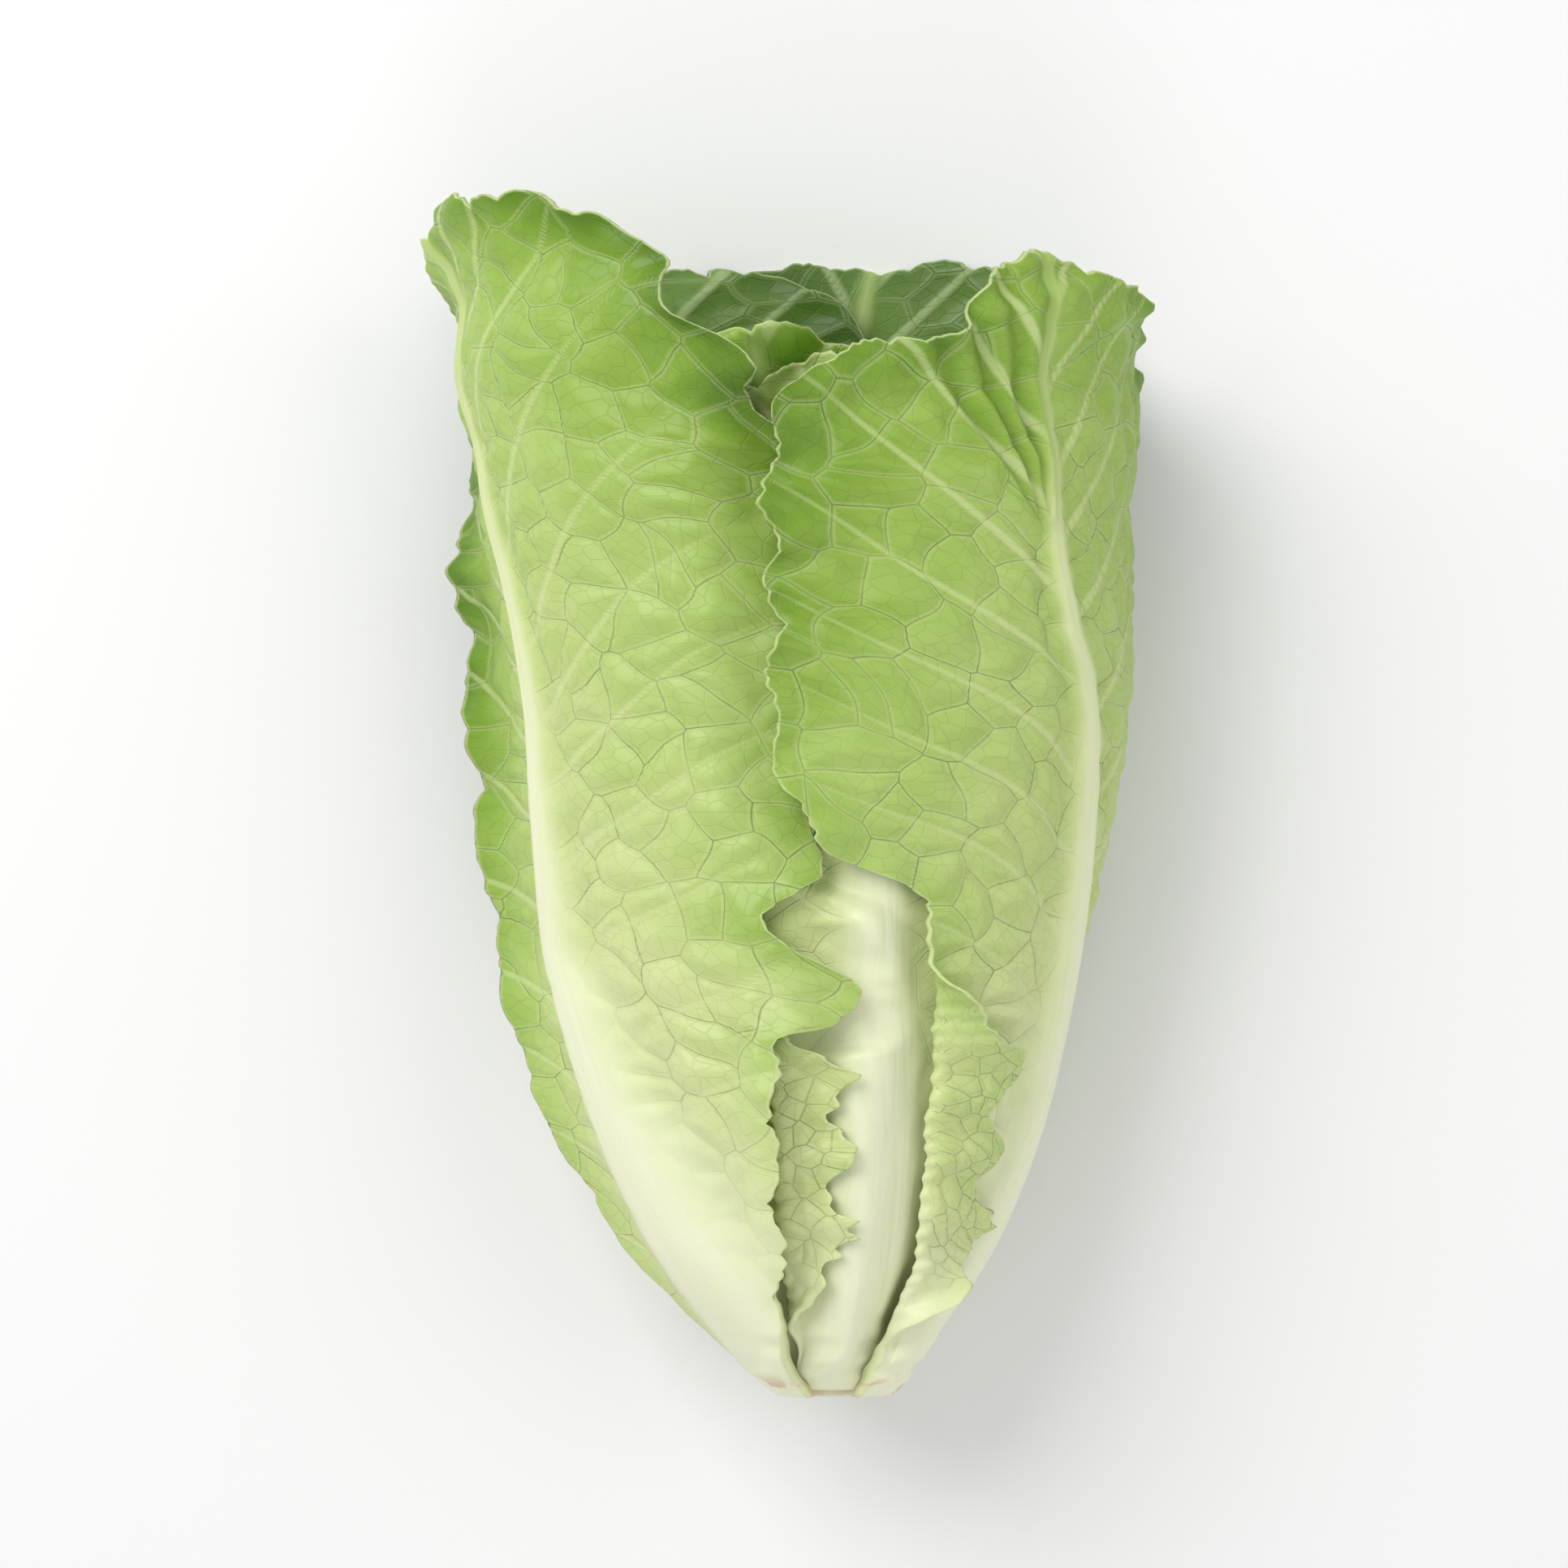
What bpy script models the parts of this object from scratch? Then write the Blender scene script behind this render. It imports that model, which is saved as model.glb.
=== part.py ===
"""A romaine heart lying on its back: a trimmed stem and the leaves wrapped round it.

Lengths in the tables are millimetres. A height runs from the cut at the foot to the leaf tips, along +Y.
An azimuth turns round the oval head from +X, through +Z, the side that faces up, to -X.
"""

import math

import bmesh
import bpy
import numpy as np

MM = 0.001

# The outside of the head, at heights above the cut.
HALF_WIDTH = ((0, 13), (12, 26), (40, 47), (80, 62), (147, 74), (177, 77), (208, 79), (249, 82), (300, 84))
FRONT_DEPTH = ((0, 13), (12, 24), (40, 36), (80, 43), (145, 49), (205, 52), (255, 52), (300, 50))
BACK_DEPTH = ((0, 13), (12, 23), (40, 36), (70, 43), (95, 46), (255, 46), (300, 46))
SIDE_SHIFT = ((0, -1), (12, -3.5), (40, -6.5), (80, -7), (147, -4), (170, -3), (208, -5.5), (249, -9),
              (300, -10))
FRONT_ROUNDNESS = 2.0
BACK_ROUNDNESS = 2.6
UNEVEN = 0.02
AXIS_LIFT = 45.8

# The stem, a core that the leaves grow from.
STEM_RADIUS = ((0, 7.4), (2, 8.2), (7, 8.6), (15, 8.4), (25, 7.2), (35, 5.6), (45, 3.6), (52, 1.6),
               (400, 1.6))
STEM_SIDES = 24
STEM_RINGS = (0, 0.6, 2, 5, 9, 14, 20, 27, 34, 41, 47, 51)

# How the leaves follow each other round and up the stem, from the outermost inwards.
GOLDEN_ANGLE = 137.5
FIRST_AZIMUTH = 25
BASE_HEIGHTS = (0.4, 0.4, 0.4, 2.2, 3.8, 5.4, 7.0, 8.8, 10.8, 13.0, 15.5, 18.0, 21.0, 24.5, 28.0)
TIP_HEIGHTS = (284, 299, 289, 256, 288, 264, 262, 258, 240, 228, 212, 190, 168, 142, 112)
RIB_THICKNESS = (8.0, 8.5, 8.0, 8.0, 7.5, 6.5, 6.5, 6.0, 5.5, 5.0, 4.6, 4.2, 3.8, 3.4, 3.0)
LAYER_STEP = 0.052
LAST_LAYER = 0.2

# A leaf along its own length, from base 0 to tip 1.
RIB_TAPER = ((0, 0.42), (0.06, 0.85), (0.13, 1.0), (0.35, 0.8), (0.6, 0.45), (0.85, 0.22), (1, 0.12))
RIB_NARROWING = ((0, 12), (0.12, 13), (0.3, 11), (0.42, 8.5), (0.55, 6), (0.75, 3.5), (1, 2))
HALF_BREADTH = ((0, 12.5), (0.06, 15), (0.2, 24), (0.35, 36), (0.5, 50), (0.7, 62), (0.9, 60), (1, 50))
TIP_DROP = 0.18
WIDEST_REACH = 98
BLADE = 0.9
BASE_EDGE = 1.0
PROUD_RIB = 0.2

# The room between leaves.
LEAF_GAP = 0.9
WIDEST_ROOM = 8.5
OUTER_SLACK = 0.4
SLACK_STEP = 0.1
SOFT_MARGIN = 12
CLEAR_MARGIN = 1.5
WIDE_RIB = 1.7

# Waves of the blades.
WAVE_LENGTH = 37
RUFFLES = (3.5, 5.0, 5.0, 5.0, 5.0, 3.0, 2.5, 3.0)
INNER_RUFFLE = 1.5
ROOM_WAVE = 0.3
SCALLOP = 0.035
TOP_SCALLOP = 2.0
FLARE = ((0, 0), (150, 1), (300, 3))

# Wings that curl outwards and lie back on their own rib. The columns from FOLD_FROM to FOLD_TO make the fold.
CURL_RADIUS = 2.4
CURL_CLEARANCE = 1.8
FOLD_FROM = 5 / 12
FOLD_TO = 9 / 12
WING = 0.9
FOLD_HEIGHT = 6.4
SOFT_FOLD = 7
NO_WING = ((0, 0), (300, 0))

# Facets of each leaf: columns right and left of the rib and rows along, with the rows closer at the base.
FACETS = ((9, 12, 31), (7, 7, 30), (6, 6, 26), (8, 12, 25), (6, 6, 26), (5, 5, 22), (5, 5, 24), (5, 5, 20))
INNER_FACETS = (5, 4, 15)
BASE_ROWS_SHARE = 0.08
BASE_ROWS_CLOSER = 0.75
COLUMNS_CLOSER = 1.2
LEVEL_ROWS = 4

STEM_COLOUR = (0.78, 0.80, 0.60, 1)
OUTER_COLOUR = (0.30, 0.47, 0.13, 1)
INNER_COLOUR = (0.66, 0.74, 0.36, 1)
LEAF_ROUGHNESS = 0.45
STEM_ROUGHNESS = 0.6

# The three leaves that show most, as they lie: azimuth of the rib and reach of each margin in degrees,
# width of the curled wing and flare in millimetres, all at heights, and the top edge from margin to margin.
PLACED = {
    0: {
        "azimuth": ((0, 38), (10, 28), (20, 21), (45, 12), (82, 12), (126, 20), (160, 28), (177, 32),
                    (192, 38), (215, 42), (249, 45), (284, 46)),
        "left": ((0, 25), (8, 21.5), (17, 24.5), (33, 34), (44, 41), (82, 46), (110, 46), (124, 49),
                 (129, 53), (133, 60), (139, 67), (155, 71), (167, 70), (192, 60), (215, 55), (245, 50),
                 (284, 48)),
        "right": ((0, 52), (20, 46), (45, 46), (82, 46), (120, 50), (145, 68), (192, 79), (240, 77),
                  (284, 60)),
        "top": ((-1, 240), (-0.85, 252), (-0.7, 261), (-0.58, 266.5), (-0.45, 272), (-0.27, 278.5),
                (0, 282.5), (0.12, 280.5), (0.2, 277.5), (0.28, 274.5), (0.33, 271), (0.38, 264.5),
                (0.46, 263.5), (0.6, 262.5), (0.7, 260), (0.8, 256), (0.9, 250), (1, 240)),
        "wing": ((0, 0), (10, 2), (20, 6), (34, 12), (50, 14.5), (80, 14.5), (100, 9), (122, 0), (300, 0)),
        "curl": ((0, 0), (4, 0), (36, 1), (80, 1), (90, 0.82), (114, 0.2), (126, 0), (300, 0)),
        "flare": (((0, 0), (140, 1), (200, 2), (300, 2)), ((0, 0), (125, 0), (160, 2), (300, 2))),
    },
    1: {
        "azimuth": ((0, 125), (12, 128), (33, 133), (52, 141), (75, 148), (100, 156), (116, 161), (147, 161),
                    (177, 161), (216, 167), (251, 177), (299, 180)),
        "left": ((0, 50), (20, 42), (45, 38), (80, 36), (120, 32), (177, 32), (216, 30), (240, 34), (280, 38),
                 (299, 30)),
        "right": ((0, 13), (10, 17), (20, 26), (40, 38), (70, 50), (87, 55), (92, 60), (95, 71.5), (98, 74.5),
                  (103, 76), (110, 71), (117, 65), (122, 63), (127, 67), (131, 71), (135, 72), (149, 70),
                  (175, 77), (216, 85), (235, 80), (299, 82)),
        "top": ((-1, 252), (-0.93, 260), (-0.865, 270), (-0.76, 283), (-0.69, 291), (-0.46, 299),
                (-0.25, 298), (0, 291), (0.5, 279), (1, 258)),
        "flare": (((0, 0), (300, 1)), ((0, 0), (50, 4), (90, 9), (160, 12), (215, 9), (240, 4), (299, 3))),
    },
    3: {
        "azimuth": ((0, 88), (6, 80), (16, 68), (45, 69), (86, 73), (126, 77), (200, 80), (256, 82)),
        "left": ((0, 40), (11, 32), (20, 31), (35, 28), (50, 27), (70, 24), (93, 23), (112, 23.5),
                 (128, 31), (150, 46), (256, 44)),
        "right": ((0, 44), (20, 36), (60, 34), (110, 44), (160, 56), (220, 60), (256, 46)),
        "top": ((-1, 222), (-0.5, 250), (0, 256), (0.5, 250), (1, 226)),
        "wing": ((0, 0), (12, 1.5), (24, 5), (37, 8), (70, 9), (84, 8.5), (95, 4), (107, 0), (300, 0)),
        "curl": ((0, 0), (6, 0), (14, 0.3), (36, 1), (78, 1), (90, 0.78), (110, 0.16), (120, 0), (300, 0)),
        "flare": (((0, 0), (300, 0)), ((0, 0), (300, 0))),
    },
}
LEANING = {
    2: ((0, 300), (30, 290), (70, 276), (110, 270), (200, 272), (289, 284)),
    4: ((0, 215), (60, 218), (150, 226), (288, 242)),
    6: ((0, 130), (80, 124), (180, 108), (262, 98)),
}


def curve(table, at):
    """A smooth curve through the table's points that never overshoots them."""
    xs, ys = np.array(table, float).T
    step = np.diff(xs)
    rise = np.diff(ys) / step
    slope = np.zeros(len(xs))
    slope[0], slope[-1] = rise[0], rise[-1]
    for i in range(1, len(xs) - 1):
        if rise[i - 1] * rise[i] > 0:
            slope[i] = 2 * rise[i - 1] * rise[i] / (rise[i - 1] + rise[i])
    at = np.asarray(at, float)
    i = np.clip(np.searchsorted(xs, at, side="right") - 1, 0, len(xs) - 2)
    t = np.clip((at - xs[i]) / step[i], 0, 1)
    near = (1 + 2 * t) * ys[i] + t * step[i] * slope[i]
    far = (3 - 2 * t) * ys[i + 1] + (t - 1) * step[i] * slope[i + 1]
    return (1 - t) ** 2 * near + t**2 * far


def fade(x):
    """1 below 0, 0 above 1, with a smooth fall between."""
    t = np.clip(x, 0, 1)
    return 1 - t * t * (3 - 2 * t)


def direction(azimuth, height):
    """The angle at which a place on the oval head is seen from the axis."""
    turn = np.radians(azimuth)
    depth = np.where(np.sin(turn) > 0, curve(FRONT_DEPTH, height), curve(BACK_DEPTH, height))
    return np.arctan2(depth * np.sin(turn), curve(HALF_WIDTH, height) * np.cos(turn))


def head_radius(angle, height):
    """The outside of the head from its axis."""
    front = np.sin(angle) > 0
    depth = np.where(front, curve(FRONT_DEPTH, height), curve(BACK_DEPTH, height))
    roundness = np.where(front, FRONT_ROUNDNESS, BACK_ROUNDNESS)
    across = np.abs(np.cos(angle) / curve(HALF_WIDTH, height)) ** roundness
    deep = np.abs(np.sin(angle) / depth) ** roundness
    uneven = UNEVEN * np.sin(3 * angle + height / 35) * np.clip(np.sin(angle), 0, 1)
    return (across + deep) ** (-1 / roundness) * (1 + uneven)


def usual_radius(leaf, height):
    """The mean radius of a leaf's layer, which turns millimetres round the head into degrees."""
    stem = curve(STEM_RADIUS, height)
    mean = (curve(HALF_WIDTH, height) + curve(FRONT_DEPTH, height) + curve(BACK_DEPTH, height)) / 3
    return np.maximum(stem + 3 + (mean - stem - 3) * leaf["layer"], stem + 2)


def make_leaf(order):
    """The driving measures of one leaf, counted from the outermost."""
    base = BASE_HEIGHTS[order]
    tip = TIP_HEIGHTS[order]
    azimuth = FIRST_AZIMUTH + GOLDEN_ANGLE * order
    leaf = {
        "order": order,
        "name": f"leaf_{order + 1:02d}",
        "base": base,
        "tip": tip,
        "rib": RIB_THICKNESS[order],
        "layer": max(1 - LAYER_STEP * order, LAST_LAYER),
        "azimuth": LEANING.get(order, ((0, azimuth), (tip, azimuth + 6))),
        "wing": NO_WING,
        "curl": NO_WING,
        "flare": (FLARE, FLARE),
        "ruffle": RUFFLES[order] if order < len(RUFFLES) else INNER_RUFFLE,
        "slack": OUTER_SLACK + SLACK_STEP * order,
        "phase": 2.4 * order,
    }
    size = ((tip - base) / 285) ** 0.55
    reach = []
    for share, breadth in HALF_BREADTH:
        height = base + share * (tip - base)
        degrees = math.degrees(breadth * size / float(usual_radius(leaf, height)))
        reach.append((height, min(degrees, WIDEST_REACH)))
    leaf["left"] = reach
    leaf["right"] = reach
    drop = TIP_DROP * (tip - base)
    leaf["top"] = [(v / 4, tip - drop * abs(v / 4) ** 2.6) for v in range(-4, 5)]
    leaf.update(PLACED.get(order, {}))
    return leaf


LEAVES = [make_leaf(order) for order in range(len(BASE_HEIGHTS))]


def length_share(leaf, height):
    return (height - leaf["base"]) / (leaf["tip"] - leaf["base"])


def side_reach(leaf, left, height):
    """How far the leaf reaches from its rib, in degrees."""
    share = np.clip(length_share(leaf, height), 0, 1)
    ripple = SCALLOP * share * np.sin(2 * math.pi * height / WAVE_LENGTH * 1.7 + leaf["phase"])
    return np.where(left, curve(leaf["left"], height), curve(leaf["right"], height)) * (1 + ripple)


def top_height(leaf, v):
    """Where the leaf ends above, at v from -1, its right margin, to 1, its left one."""
    return curve(leaf["top"], v) + TOP_SCALLOP * np.sin(9 * v + leaf["phase"])


def turn_from_rib(leaf, azimuth, height):
    return (azimuth - curve(leaf["azimuth"], height) + 180) % 360 - 180


def presence(leaf, azimuth, height):
    """1 where the leaf is, falling to 0 a little way outside its margin."""
    turn = turn_from_rib(leaf, azimuth, height)
    radius = usual_radius(leaf, height)
    reach = side_reach(leaf, turn > 0, height)
    for nearby in (-5, 5):
        reach = np.maximum(reach, side_reach(leaf, turn > 0, height + nearby))
    curl = np.where(turn > 0, CURL_RADIUS * np.clip(2 * curve(leaf["curl"], height), 0, 1), 0)
    past = np.radians(np.abs(turn) - reach) * radius - CLEAR_MARGIN - curl
    over = height - top_height(leaf, np.clip(turn / reach, -1, 1)) - CLEAR_MARGIN
    under = leaf["base"] - height
    return fade(past / SOFT_MARGIN) * fade(over / SOFT_MARGIN) * fade(under / 4)


def thickness(leaf, azimuth, height, spread=1.0):
    """Blade and rib together; a spread over 1 gives the wider hollow that the rib is allowed."""
    share = length_share(leaf, height)
    rib = leaf["rib"] * curve(RIB_TAPER, share)
    half = curve(RIB_NARROWING, share) * (leaf["rib"] / 8) * spread
    edge = BLADE + BASE_EDGE * np.exp(-np.maximum(height - leaf["base"], 0) / 12)
    along = np.radians(turn_from_rib(leaf, azimuth, height)) * usual_radius(leaf, height)
    return edge + np.maximum(rib - edge, 0) * np.exp(-(np.abs(along / half) ** 2.8))


def folded_room(leaf, azimuth, height):
    """The room that a leaf's folded wing takes on top of the leaf."""
    turn = turn_from_rib(leaf, azimuth, height)
    radius = usual_radius(leaf, height)
    from_fold = np.radians(curve(leaf["left"], height) - turn) * radius
    past_wing = (from_fold - curve(leaf["wing"], height)) / SOFT_FOLD
    past_fold = (-from_fold - CURL_RADIUS) / SOFT_FOLD
    return FOLD_HEIGHT * curve(leaf["curl"], height) * fade(past_wing) * fade(past_fold)


def layer(leaf, azimuth, height):
    """Where one leaf lies at a place on the head: inner radius, room round it, and how open it is outside."""
    stem = curve(STEM_RADIUS, height)
    inside = np.zeros_like(height)
    outside = np.zeros_like(height)
    total = np.zeros_like(height)
    slack = np.zeros_like(height)
    is_open = np.ones_like(height)
    for other in LEAVES:
        here = presence(other, azimuth, height)
        taken = here * (thickness(other, azimuth, height, WIDE_RIB) + LEAF_GAP)
        total += taken
        slack += here * other["slack"]
        if other["order"] > leaf["order"]:
            inside += taken + folded_room(other, azimuth, height)
        elif other["order"] < leaf["order"]:
            outside += here * other["slack"]
            is_open *= 1 - here
    free = head_radius(direction(azimuth, height), height) - stem - total
    free = np.log1p(np.exp(np.minimum(free, 60))) + np.maximum(free - 60, 0)
    slack = np.maximum(slack, 1)
    room = WIDEST_ROOM * (1 - np.exp(-free / (WIDEST_ROOM * slack)))
    return stem + inside + LEAF_GAP + free - room * outside, room, is_open


def unrolled(v, flat, arc, wing, curled):
    """How far from the rib a column lies on the blade rolled out flat, with columns kept for the fold."""
    even = v * (flat + arc + wing)
    on_arc = flat + arc * (v - FOLD_FROM) / (FOLD_TO - FOLD_FROM)
    on_wing = flat + arc + wing * (v - FOLD_TO) / (1 - FOLD_TO)
    kept = np.where(v < FOLD_FROM, flat * v / FOLD_FROM, np.where(v < FOLD_TO, on_arc, on_wing))
    return even + (kept - even) * curled


def leaf_points(leaf, v, u, outer):
    """Points of the leaf's inner or outer face, at v across it and u along it."""
    left = v > 0
    side = np.where(left, 1, -1)
    length = leaf["tip"] - leaf["base"]
    height = leaf["base"] + length * u - (leaf["tip"] - top_height(leaf, v)) * u**LEVEL_ROWS
    share = np.clip(length_share(leaf, height), 0, 1)
    radius = usual_radius(leaf, height)

    flat = np.radians(side_reach(leaf, left, height)) * radius
    wing = np.where(left, curve(leaf["wing"], height), 0)
    curled = np.where(left, curve(leaf["curl"], height), 0)
    wing = wing * (1 + 0.25 * np.sin(height / 3.1))
    arc = CURL_RADIUS * math.pi * curled
    along = unrolled(np.abs(v), flat, arc, wing, curled)
    bend = np.clip((along - flat) / CURL_RADIUS, 0, math.pi * curled)
    back = np.maximum(along - flat - arc, 0)
    along = np.minimum(along, flat) + CURL_RADIUS * np.sin(bend) + back * np.cos(bend)
    azimuth = curve(leaf["azimuth"], height) + side * np.degrees(along / radius)

    inner, room, is_open = layer(leaf, azimuth, height)
    thick = thickness(leaf, azimuth, height) * (1 + PROUD_RIB * is_open)
    margin = 1 - (1 - np.abs(v) ** 4) * (1 - u**6)
    wave = np.sin(2 * math.pi * height / WAVE_LENGTH + leaf["phase"] + 3 * v * share)
    above_floor = fade((-np.sin(np.radians(azimuth)) - 0.35) / 0.4)
    flare = np.where(left, curve(leaf["flare"][1], height), curve(leaf["flare"][0], height))
    outwards = is_open * margin * (flare + leaf["ruffle"] * share * (0.5 + 0.5 * wave))
    lift = ROOM_WAVE * room * (leaf["slack"] - SLACK_STEP) * wave * margin * share + outwards
    lift = np.where(lift > 0, lift * above_floor, lift)
    folded = (1 - np.cos(bend)) / 2
    middle = inner + thick / 2 + lift * (1 - folded)
    over_rib = inner + thick + CURL_CLEARANCE + WING / 2 + 0.8 * (1 + np.sin(height / 2.3))
    middle = middle + (over_rib - middle) * folded + back * np.sin(bend)
    half = (thick + (WING - thick) * folded) / 2 * (1 if outer else -1)
    ray = middle + half * np.cos(bend)
    azimuth = azimuth - side * np.degrees(half * np.sin(bend) / radius)

    angle = direction(azimuth, height)
    x = curve(SIDE_SHIFT, height) + ray * np.cos(angle)
    z = np.maximum(AXIS_LIFT + ray * np.sin(angle), 0)
    return np.stack([x, height, z], axis=-1)


def row_share(u):
    """Evenly spaced rows brought closer together near the base."""
    closer = BASE_ROWS_CLOSER * BASE_ROWS_SHARE
    return (u - closer * (1 - np.exp(-u / BASE_ROWS_SHARE))) / (1 - closer)


def column_share(leaf, x, rib_at):
    """Across the leaf from -1 to 1, with the rib at 0 and the columns closer together near a plain rib."""
    v = (x - rib_at) / np.where(x > rib_at, 1 - rib_at, 1 + rib_at)
    return v if leaf["wing"] is not NO_WING else np.sign(v) * np.abs(v) ** COLUMNS_CLOSER


def leaf_mesh(leaf, right, left, rows):
    """A sheet of triangles, thickened by extruding it, with each face then laid in its place."""
    sheet = bmesh.new()
    bmesh.ops.create_grid(sheet, x_segments=right + left, y_segments=rows, size=1)
    rib_at = 2 * right / (right + left) - 1
    bmesh.ops.triangulate(sheet, faces=sheet.faces[:], quad_method="FIXED")
    inner = sheet.verts[:]
    grown = bmesh.ops.extrude_face_region(sheet, geom=sheet.faces[:])
    outer = [item for item in grown["geom"] if isinstance(item, bmesh.types.BMVert)]
    for verts, is_outer in ((inner, False), (outer, True)):
        v = column_share(leaf, np.array([vert.co.x for vert in verts]), rib_at)
        u = row_share(np.array([(vert.co.y + 1) / 2 for vert in verts]))
        for vert, point in zip(verts, leaf_points(leaf, v, u, is_outer)):
            vert.co = point * MM
    bmesh.ops.triangulate(sheet, faces=sheet.faces[:], quad_method="FIXED")
    bmesh.ops.recalc_face_normals(sheet, faces=sheet.faces[:])
    if sheet.calc_volume(signed=True) < 0:
        bmesh.ops.reverse_faces(sheet, faces=sheet.faces[:])
    mesh = bpy.data.meshes.new(leaf["name"])
    sheet.to_mesh(mesh)
    sheet.free()
    return mesh


def stem_mesh():
    """Rings drawn round the axis and joined, with the cut flat at the foot."""
    body = bmesh.new()
    edges = []
    for height in STEM_RINGS:
        ring = bmesh.ops.create_circle(body, segments=STEM_SIDES, radius=1)["verts"]
        radius = float(curve(STEM_RADIUS, height)) * (0.93 if height == 0 else 1)
        shift = float(curve(SIDE_SHIFT, height))
        for number, vert in enumerate(ring):
            angle = 2 * math.pi * number / STEM_SIDES
            vert.co = (
                (shift + radius * math.cos(angle)) * MM,
                height * MM,
                (AXIS_LIFT + radius * math.sin(angle)) * MM,
            )
        edges.append({edge for vert in ring for edge in vert.link_edges})
    for low, high in zip(edges, edges[1:]):
        bmesh.ops.bridge_loops(body, edges=list(low | high))
    bmesh.ops.holes_fill(body, edges=body.edges[:], sides=STEM_SIDES)
    bmesh.ops.recalc_face_normals(body, faces=body.faces[:])
    mesh = bpy.data.meshes.new("stem")
    body.to_mesh(mesh)
    body.free()
    return mesh


def material(name, colour, roughness):
    made = bpy.data.materials.new(name)
    made.use_nodes = True
    shader = made.node_tree.nodes["Principled BSDF"]
    shader.inputs["Base Color"].default_value = colour
    shader.inputs["Roughness"].default_value = roughness
    shader.inputs["Metallic"].default_value = 0
    return made


def add_part(name, mesh, collection, colour, roughness):
    part = bpy.data.objects.new(name, mesh)
    mesh.materials.append(material(name, colour, roughness))
    collection.objects.link(part)
    return part


def rest_on_floor(parts):
    """Moves the parts together, so that the middle of their box stands at the origin."""
    corners = np.array([vert.co for part in parts for vert in part.data.vertices])
    low, high = corners.min(axis=0), corners.max(axis=0)
    for part in parts:
        part.location = (-(low[0] + high[0]) / 2, -(low[1] + high[1]) / 2, -low[2])


def main():
    for old in list(bpy.data.objects):
        bpy.data.objects.remove(old)
    collection = bpy.data.collections.new("romaine_heart")
    bpy.context.scene.collection.children.link(collection)
    parts = [add_part("stem", stem_mesh(), collection, STEM_COLOUR, STEM_ROUGHNESS)]
    for leaf in LEAVES:
        order = leaf["order"]
        facets = FACETS[order] if order < len(FACETS) else INNER_FACETS
        depth = order / (len(LEAVES) - 1)
        colour = [a + (b - a) * depth for a, b in zip(OUTER_COLOUR, INNER_COLOUR)]
        mesh = leaf_mesh(leaf, *facets)
        parts.append(add_part(leaf["name"], mesh, collection, colour, LEAF_ROUGHNESS))
    rest_on_floor(parts)


main()
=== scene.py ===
# %% [markdown]
# # A romaine heart lying on a pale table
#
# A romaine heart is the middle of a cos lettuce: a short stem with a fresh cut at its foot, and long leaves
# that grow from it in a spiral and wrap round each other. This lesson dresses a plain CAD model of one. The
# CAD leaves are coarse sheets of a few dozen facets; here each one is laid again as a fine sheet, with its
# rib, puffed cells, veins, lobes and teeth, and with the waxy greens that make it look fresh.
#
# The script starts by loading the CAD model as a fixed frame. Its box is kept, because the dressed heart
# must come out at the same size.

import math

import bpy
import numpy as np
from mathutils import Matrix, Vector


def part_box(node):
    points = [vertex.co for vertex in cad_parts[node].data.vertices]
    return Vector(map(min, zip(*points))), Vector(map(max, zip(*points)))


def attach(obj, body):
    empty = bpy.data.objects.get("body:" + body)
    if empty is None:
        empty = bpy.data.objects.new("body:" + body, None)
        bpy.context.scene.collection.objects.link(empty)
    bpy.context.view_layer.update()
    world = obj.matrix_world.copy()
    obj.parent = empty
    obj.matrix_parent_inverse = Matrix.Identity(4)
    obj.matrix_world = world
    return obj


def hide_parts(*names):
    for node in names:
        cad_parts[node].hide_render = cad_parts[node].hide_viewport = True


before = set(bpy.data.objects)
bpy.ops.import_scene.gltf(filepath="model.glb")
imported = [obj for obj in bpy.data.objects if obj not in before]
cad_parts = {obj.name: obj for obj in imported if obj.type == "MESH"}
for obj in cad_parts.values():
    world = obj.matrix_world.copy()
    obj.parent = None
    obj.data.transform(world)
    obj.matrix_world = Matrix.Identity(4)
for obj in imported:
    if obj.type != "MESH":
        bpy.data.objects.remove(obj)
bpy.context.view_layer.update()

# %% [markdown]
# ## Small helpers
#
# Blender's operators act on everything that is selected, and loading leaves all the CAD nodes selected. So
# before any new piece the selection is emptied. Colours are written as the sRGB hex that a paint program
# shows, and one function turns them to the linear values that shaders take.

# %% Helpers for selection and colour
MM = 0.001


def deselect_all():
    bpy.ops.object.select_all(action="DESELECT")


def colour(hex_code):
    """The linear colour of an sRGB hex code."""
    channels = [int(hex_code[i:i + 2], 16) / 255 for i in (1, 3, 5)]
    linear = [c / 12.92 if c <= 0.04045 else ((c + 0.055) / 1.055) ** 2.4 for c in channels]
    return (*linear, 1)


# %% [markdown]
# Materials are trees of nodes. One helper adds a node, sets it up, links its inputs and gives back the
# output that the next node needs.

# %% Helper that adds a node
def add_node(tree, kind, inputs=None, out=0, stops=None, **settings):
    """A node of one kind; a value in inputs is either a number, a colour or another node's output."""
    node = tree.nodes.new(kind)
    for name, value in settings.items():
        setattr(node, name, value)
    for number, (place, tint) in enumerate(stops or ()):
        points = node.color_ramp.elements
        point = points[number] if number < 2 else points.new(place)
        point.position = place
        point.color = colour(tint)
    for socket, value in (inputs or {}).items():
        if isinstance(value, bpy.types.NodeSocket):
            tree.links.new(value, node.inputs[socket])
        else:
            node.inputs[socket].default_value = value
    return node.outputs[out] if node.outputs else node


# %% [markdown]
# ## Camera, table and light
#
# The heart was photographed from straight in front, and a heart that lies down is seen the same way from
# straight above. A long lens keeps the perspective flat, as in the photograph. The view is 394 mm wide at
# the height of the head's widest line.

# %% Camera
VIEW_WIDTH = 394 * MM
LENS = 120
SENSOR = 36
WIDEST_LINE = 46 * MM
VIEW_CENTRE = (-0.2 * MM, 3.9 * MM)

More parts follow.
